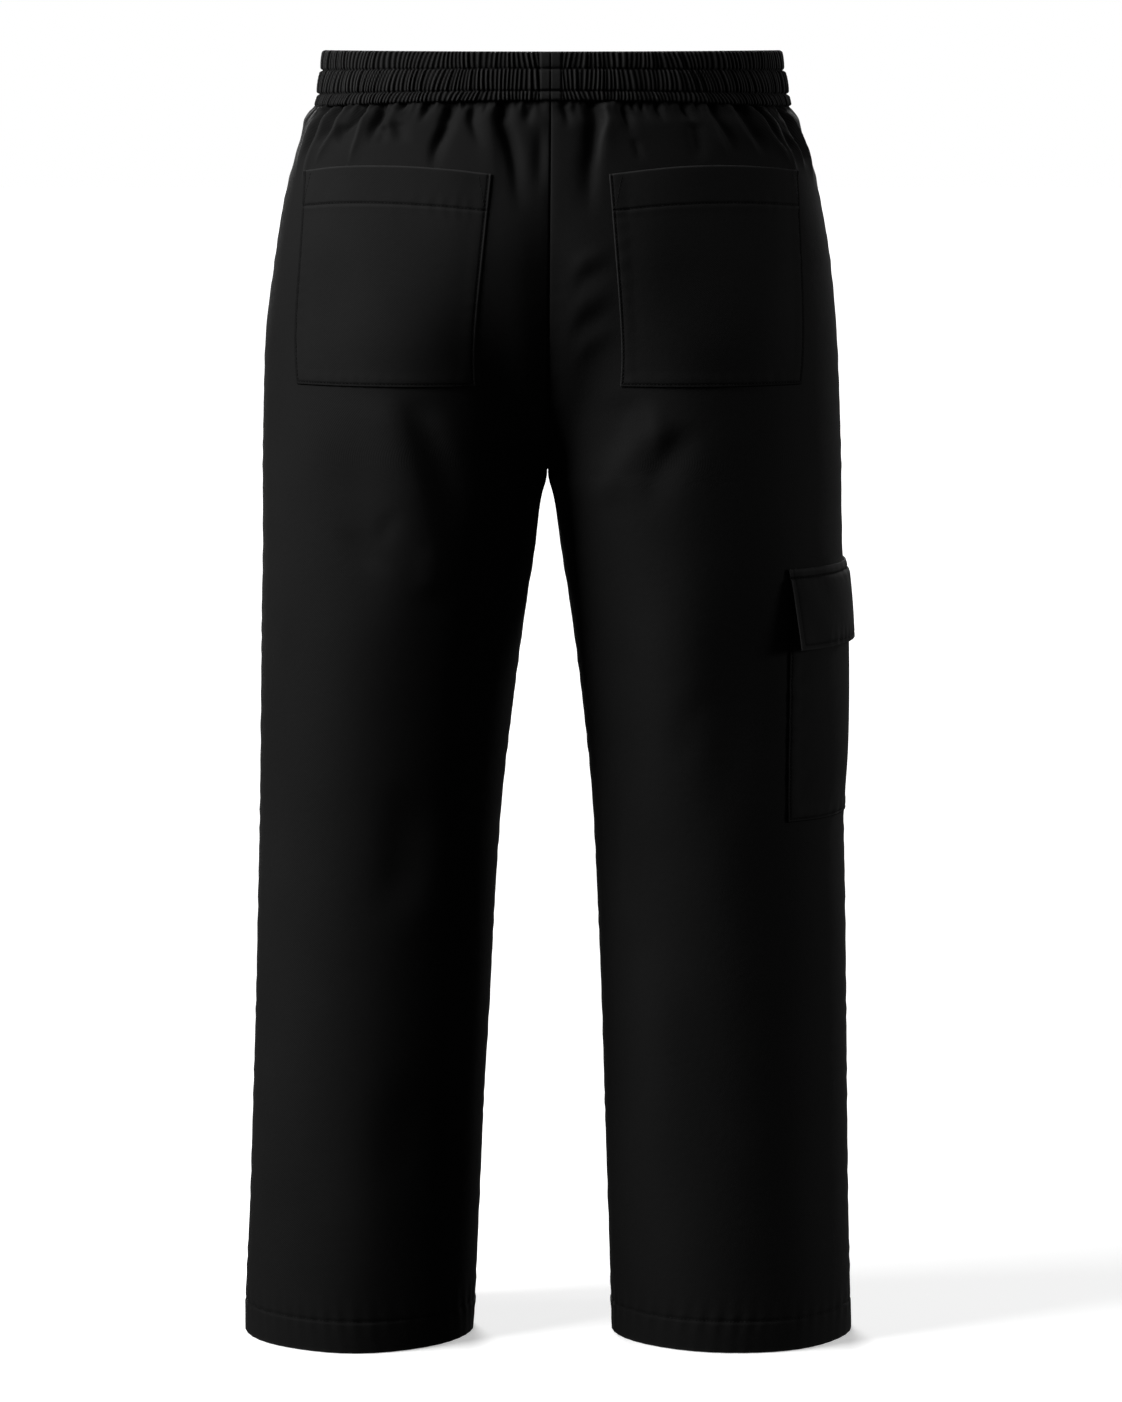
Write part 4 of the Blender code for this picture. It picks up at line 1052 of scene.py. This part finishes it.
def flap_surface(across, below):
    """The outer surface of the flap: sewn flat to the leg down to its row of stitches, then standing off
    more and more to its free edge, most at its two ends, with a stiff, slightly bowed face."""
    part_way, from_foot = below / FLAP_DEEP, FLAP_DEEP - below
    inset = FLAP_OVERHANG - part_way * FLAP_NARROWS
    first = CARGO_BEHIND - CARGO_NARROWS_BEHIND * part_way / 4 + inset
    last = -CARGO_BEFORE - inset
    behind = first + across * (last - first)
    from_side = np.minimum(across, 1 - across) * (first - last)
    level = FLAP_TOP + below
    past_stitch = below - FLAP_STITCH
    free = ease(past_stitch / 0.012) * np.clip(past_stitch / (FLAP_DEEP - FLAP_STITCH), 0, 1)
    out = np.abs(behind) / np.where(behind > 0, CARGO_BEHIND, CARGO_BEFORE)
    stands = FLAP_STANDS[0] + (FLAP_STANDS[1] - FLAP_STANDS[0]) * out**2
    over_pocket = 0.0030 * ease((level - CARGO_TOP + 0.006) / 0.010)
    edge = np.minimum(from_side, from_foot)
    short = np.clip(1 - np.minimum(edge, below + 0.0002) / 0.0011, 0, 1)
    rise = 0.0014 + 0.0010 * np.sqrt(1 - short**2)
    dents = -0.0007 * bell(past_stitch, 0.0009) - 0.0005 * bell(edge - FLAP_EDGE_STITCH, 0.0008)
    puffed = 0.0006 * bell(below - 0.0035, 0.0025) + 0.0007 * np.sin(HALF * across) * np.sin(HALF * part_way)
    uneven = ruckles(behind, np.abs(past_stitch) + 0.003, 0.00040, 7.0)
    uneven = uneven + ruckles(level, from_side, 0.00040, 8.0) + ruckles(behind, from_foot, 0.00040, 9.0)
    lift = rise + over_pocket + stands * free + dents + puffed + uneven
    points, normal = leg_patch_points(behind, level, lift)
    # Painted highlights: thin pale lines along the flap's edges and top, where they catch the light, on a
    # face painted paler all over because it tilts up into the light, with faint slanting streaks.
    rubbing_and_painted_light = np.maximum(bell(edge - 0.0006, 0.0008), bell(below - 0.0012, 0.0016))
    wear_and_painted_light = 0.28 + 0.72 * rubbing_and_painted_light + 0.10 * np.sin(behind * 160 + level * 90)
    # Painted shade along both rows of stitches.
    sunk = np.maximum(0.9 * bell(past_stitch, 0.0008), 0.7 * bell(edge - FLAP_EDGE_STITCH, 0.0006))
    return points, normal, np.stack([behind, level], axis=-1), wear_and_painted_light * (1 - sunk) - sunk


def make_patch(solid, surface, size, fine, material):
    """A patch pocket or flap from its surface, as a grid of shares across and distances below its top. Its
    size is its width, depth and thickness."""
    width, deep, thick = size
    across = patch_spots(width, PATCH_STEP) / width
    below = patch_spots(deep, PATCH_STEP, fine)
    points, normal, cloth, wear_and_painted_light = surface(across + 0 * below[:, None], below[:, None] + 0 * across)
    piece = grid_cloth(solid + "_cloth", points, cloth, wear_and_painted_light, material, normal, thick)
    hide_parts(solid)


# ------------------------------------------------------------------------------------------ the stitches

STITCH_PITCH, STITCH_LONG = 0.0032, 0.0024
STITCH_WIDE, STITCH_HIGH = 0.00030, 0.00022
STITCH_RINGS, STITCH_SIDES = 5, 6


def stitches(paths):
    """Meshes of small stitches along paths. A path is its points and outward normals, close together.
    Each stitch is a short six-sided thread that runs straight between two holes, high in the middle and
    dipping into the cloth at its ends as a half sine."""
    every = []
    way = np.linspace(0, 1, STITCH_RINGS)
    arch = np.sin(HALF * way) ** 0.6
    angle = np.arange(STITCH_SIDES) * FULL / STITCH_SIDES
    for points, normal in paths:
        length = np.concatenate([[0], np.cumsum(np.linalg.norm(np.diff(points, axis=0), axis=1))])
        starts = np.arange(0.5 * STITCH_PITCH, length[-1] - STITCH_LONG, STITCH_PITCH)[:, None]
        at = starts + way * STITCH_LONG
        middle = np.stack([np.interp(at, length, points[:, k]) for k in range(3)], axis=-1)
        up = unit(np.stack([np.interp(at, length, normal[:, k]) for k in range(3)], axis=-1))
        along = unit(middle[:, -1] - middle[:, 0])[:, None, :] + 0 * up
        beside = unit(np.cross(along, up))
        middle = middle + up * ((arch - 0.7) * 0.00035)[:, None]
        ring = beside[:, :, None] * (np.cos(angle) * STITCH_WIDE)[:, None]
        ring = ring + up[:, :, None] * (np.sin(angle) * STITCH_HIGH)[:, None]
        every.append(middle[:, :, None] + ring * (0.35 + 0.65 * arch)[:, None, None])
    return np.concatenate(every)


def make_stitches(name, paths, material):
    """One piece of many stitches."""
    rings = stitches(paths)
    index = np.arange(rings[..., 0].size).reshape(rings.shape[:3])
    beside = np.roll(index, -1, axis=2)
    sides = np.stack([index[:, :-1], index[:, 1:], beside[:, 1:], beside[:, :-1]], axis=-1).reshape(-1, 4)
    ends = [index[:, 0, ::-1], index[:, -1]]
    mesh = bpy.data.meshes.new(name)
    faces = sides[:, ::-1].tolist() + np.concatenate(ends).tolist()
    mesh.from_pydata(rings.reshape(-1, 3).tolist(), [], faces)
    mesh.shade_smooth()
    return add_piece(name, mesh, material)


def hem_paths():
    """A row of stitches round each hem, 26 mm up."""
    paths = []
    for side in (LEFT, RIGHT):
        for back in (True, False):
            share = np.linspace(0.004, 0.996, 400)
            level = np.full_like(share, HEM - HEM_DEEP)
            relief = hem_relief(level, share * girth(side, back, level)) + 0.0002
            paths.append(on_cloth(side, back, level, share, relief))
    return paths


def patch_path(surface, corners, width, count=300):
    """A path on a patch through corners given as distances across and below its top left corner."""
    across, below = np.array(corners).T
    legs = np.concatenate([[0], np.cumsum(np.hypot(np.diff(across), np.diff(below)))])
    at = np.linspace(0, legs[-1], count)
    points, normal, _, _ = surface(np.interp(at, legs, across) / width, np.interp(at, legs, below))
    return points + normal * 0.0001, normal


def round_patch(wide, deep, in_from, top):
    """Corners of a row of stitches down one side, along the foot and up the other side."""
    return (in_from, top), (in_from, deep - in_from), (wide - in_from, deep - in_from), (wide - in_from, top)


def seat_pocket_paths(surface):
    """The rows of stitches on a seat pocket's surface: sides and foot, the mouth's hem, and a narrow
    slanting bar at each top corner."""
    wide, in_from = POCKET_WIDE, SEAT_POCKET_STITCH
    rows = [
        round_patch(wide, POCKET_DEEP, in_from, 0.002),
        ((0.003, POCKET_HEM), (wide - 0.003, POCKET_HEM)),
        ((0.010, 0.0015), (in_from, POCKET_HEM)),
        ((wide - 0.010, 0.0015), (wide - in_from, POCKET_HEM)),
    ]
    return [patch_path(surface, row, wide) for row in rows]


def cargo_paths():
    """The rows of stitches on the cargo pocket and its flap."""
    wide = CARGO_WIDE
    across_top = ((0.003, FLAP_STITCH), (wide - 0.003, FLAP_STITCH))
    round_flap = round_patch(wide, FLAP_DEEP, FLAP_EDGE_STITCH, FLAP_STITCH + 0.002)
    return [
        patch_path(cargo_pocket_surface, round_patch(wide, CARGO_DEEP, CARGO_STITCH, 0.012), wide),
        patch_path(flap_surface, across_top, wide),
        patch_path(flap_surface, round_flap, wide),
    ]


# ------------------------------------------------------------------------------------------ set and light

# The key: where it stands, what it looks at, its width in metres and its power.
KEY_AT, KEY_LOOKS_AT, KEY_SIZE, KEY_POWER = (2.35, 0.95, 1.10), (0.0, 0.0, -0.45), 1.6, 135.0

# Far lights: where each shines to, how strong it is, and how many degrees wide.
FAR_LIGHTS = (
    ("edge", (0.50, 0.84, -0.22), 0.25, 8),
    ("fill", (0.99, 0.02, -0.15), 0.8, 15),
    ("front", (-0.12, 0.92, -0.37), 3.2, 20),
    ("front_above", (0.05, 0.80, -0.60), 4.0, 25),
)
FLOOR_REACH, FLOOR_BELOW_HEM = 40.0, 0.0006
UNIT_SQUARE = ((-1, -1), (1, -1), (1, 1), (-1, 1))


def add_light(name, kind, shines_to, power):
    """A soft white light that shines along a direction."""
    light = bpy.data.objects.new(name, bpy.data.lights.new(name, kind))
    light.data.energy = power
    bpy.context.scene.collection.objects.link(light)
    x, y, z = unit(np.array(shines_to, float))
    light.rotation_euler = (math.acos(-z), 0, math.atan2(y, x) + QUARTER + HALF)
    light.visible_camera = False
    return light


def add_floor():
    """A white paper sweep at the hems. It glows softly, more so far out, so that it stays white where the
    light falls off and its edge doesn't show against the room."""
    mesh = bpy.data.meshes.new("floor")
    corners = [(FLOOR_REACH * x, FLOOR_REACH * y, -HEM - FLOOR_BELOW_HEM) for x, y in UNIT_SQUARE]
    mesh.from_pydata(corners, [], [(0, 1, 2, 3)])
    paper = bpy.data.materials.new("white_paper_sweep")
    paper.use_nodes = True
    tree = paper.node_tree
    surface = tree.nodes["Principled BSDF"]
    surface.inputs["Base Color"].default_value = linear("#f4f4f4")
    surface.inputs["Roughness"].default_value = 0.9
    surface.inputs["Specular IOR Level"].default_value = 0.0
    surface.inputs["Emission Color"].default_value = (1, 1, 1, 1)
    place = node(tree, "ShaderNodeTexCoord")
    away = node(tree, "ShaderNodeVectorMath", [(place.outputs["Object"], "Vector")], operation="LENGTH")
    links = [(away.outputs["Value"], "Value")]
    glow = node(tree, "ShaderNodeMapRange", links, From_Min=1.6, From_Max=5.0, To_Min=0.45, To_Max=0.85)
    tree.links.new(glow.outputs["Result"], surface.inputs["Emission Strength"])
    mesh.materials.append(paper)
    floor = bpy.data.objects.new("floor", mesh)
    bpy.context.scene.collection.objects.link(floor)
    floor.visible_diffuse = False
    floor.visible_glossy = False
    return floor


def add_room():
    """A room that looks white and lights the garment only faintly."""
    room = bpy.data.worlds.new("white_room")
    room.use_nodes = True
    bpy.context.scene.world = room
    tree = room.node_tree
    faint = tree.nodes["Background"]
    faint.inputs["Strength"].default_value = 0.055
    faint.inputs["Color"].default_value = (1, 1, 1, 1)
    seen = node(tree, "ShaderNodeBackground", Color=(1, 1, 1, 1), Strength=1.0)
    path = node(tree, "ShaderNodeLightPath")
    either = node(tree, "ShaderNodeMixShader", [(path.outputs["Is Camera Ray"], "Fac")])
    tree.links.new(faint.outputs[0], either.inputs[1])
    tree.links.new(seen.outputs[0], either.inputs[2])
    tree.links.new(either.outputs[0], tree.nodes["World Output"].inputs["Surface"])


def set_stage():
    """The floor, the room, the photograph's camera, a high soft key from the wearer's left behind, and four
    far lights: two from the front that draw the thin bright edge, one from the right, and one that shows
    the front and is kept off the floor, which it would burn out."""
    floor = add_floor()
    add_room()
    key = add_light("key", "AREA", np.array(KEY_LOOKS_AT) - np.array(KEY_AT), KEY_POWER)
    key.location = KEY_AT
    key.data.size = KEY_SIZE
    for name, shines_to, strength, degrees in FAR_LIGHTS:
        light = add_light(name, "SUN", shines_to, strength)
        light.data.angle = math.radians(degrees)
    kept_off = bpy.data.collections.new("kept_off_the_floor")
    kept_off.objects.link(floor)
    kept_off.collection_objects[0].light_linking.link_state = "EXCLUDE"
    light.light_linking.receiver_collection = kept_off
    view = bpy.data.cameras.new("camera")
    view.sensor_width = SENSOR
    view.lens = FOCAL * SENSOR / PICTURE[1]
    camera = bpy.data.objects.new("camera", view)
    camera.location = CAMERA_AT
    camera.rotation_euler = (QUARTER - PITCH, 0, HALF)
    bpy.context.scene.collection.objects.link(camera)
    bpy.context.scene.camera = camera
    bpy.context.scene.view_settings.view_transform = "Standard"
    bpy.context.scene.view_settings.look = "None"


def make_all():
    """Every piece of the garment."""
    # The third colour of each twill is its paler one, for wear and painted highlights. The pockets' twill is
    # the same cloth painted a shade lighter, where the pockets catch more light, and the waistband's is the
    # same cloth painted much darker, so that the painted shade in its valleys reads near black.
    panel_twill = twill("black_poly_cotton_twill", "#101010", "#141414", "#242424", 1.3, 0.00016)
    pocket_twill = twill("black_twill_painted_lighter", "#101010", "#151515", "#282828", 1.3, 0.00016)
    band_twill = twill("black_twill_on_elastic", "#040404", "#060606", "#2c2c2c", 0.9, 0.00012)
    thread = spun_thread("black_spun_polyester_thread", "#060606", "#0c0c0c")
    for side, side_name in SIDES:
        for back, back_name in ((True, "back_"), (False, "front_")):
            solid = back_name + side_name
            panel = make_panel(side, back, solid + "_cloth", panel_twill)
            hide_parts(solid)
    make_waistband(band_twill)
    for side, side_name in SIDES:
        surface = partial(seat_pocket_surface, side)
        size, under = (POCKET_WIDE, POCKET_DEEP, PATCH_THICK), ["back_" + side_name + "_cloth"]
        solid = "seat_pocket_" + side_name
        make_patch(solid, surface, size, (POCKET_HEM,), pocket_twill)
        make_stitches("seat_pocket_stitches_" + side_name, seat_pocket_paths(surface), thread)
    under = ["back_right_cloth", "front_right_cloth"]
    size = (CARGO_WIDE, CARGO_DEEP, PATCH_THICK)
    make_patch("cargo_pocket", cargo_pocket_surface, size, (), pocket_twill)
    under = under + ["cargo_pocket_cloth"]
    size = (CARGO_WIDE, FLAP_DEEP, FLAP_THICK)
    make_patch("cargo_flap", flap_surface, size, (FLAP_STITCH,), pocket_twill)
    make_stitches("cargo_stitches", cargo_paths(), thread)
    make_stitches("hem_stitches", hem_paths(), thread)
    set_stage()


make_all()
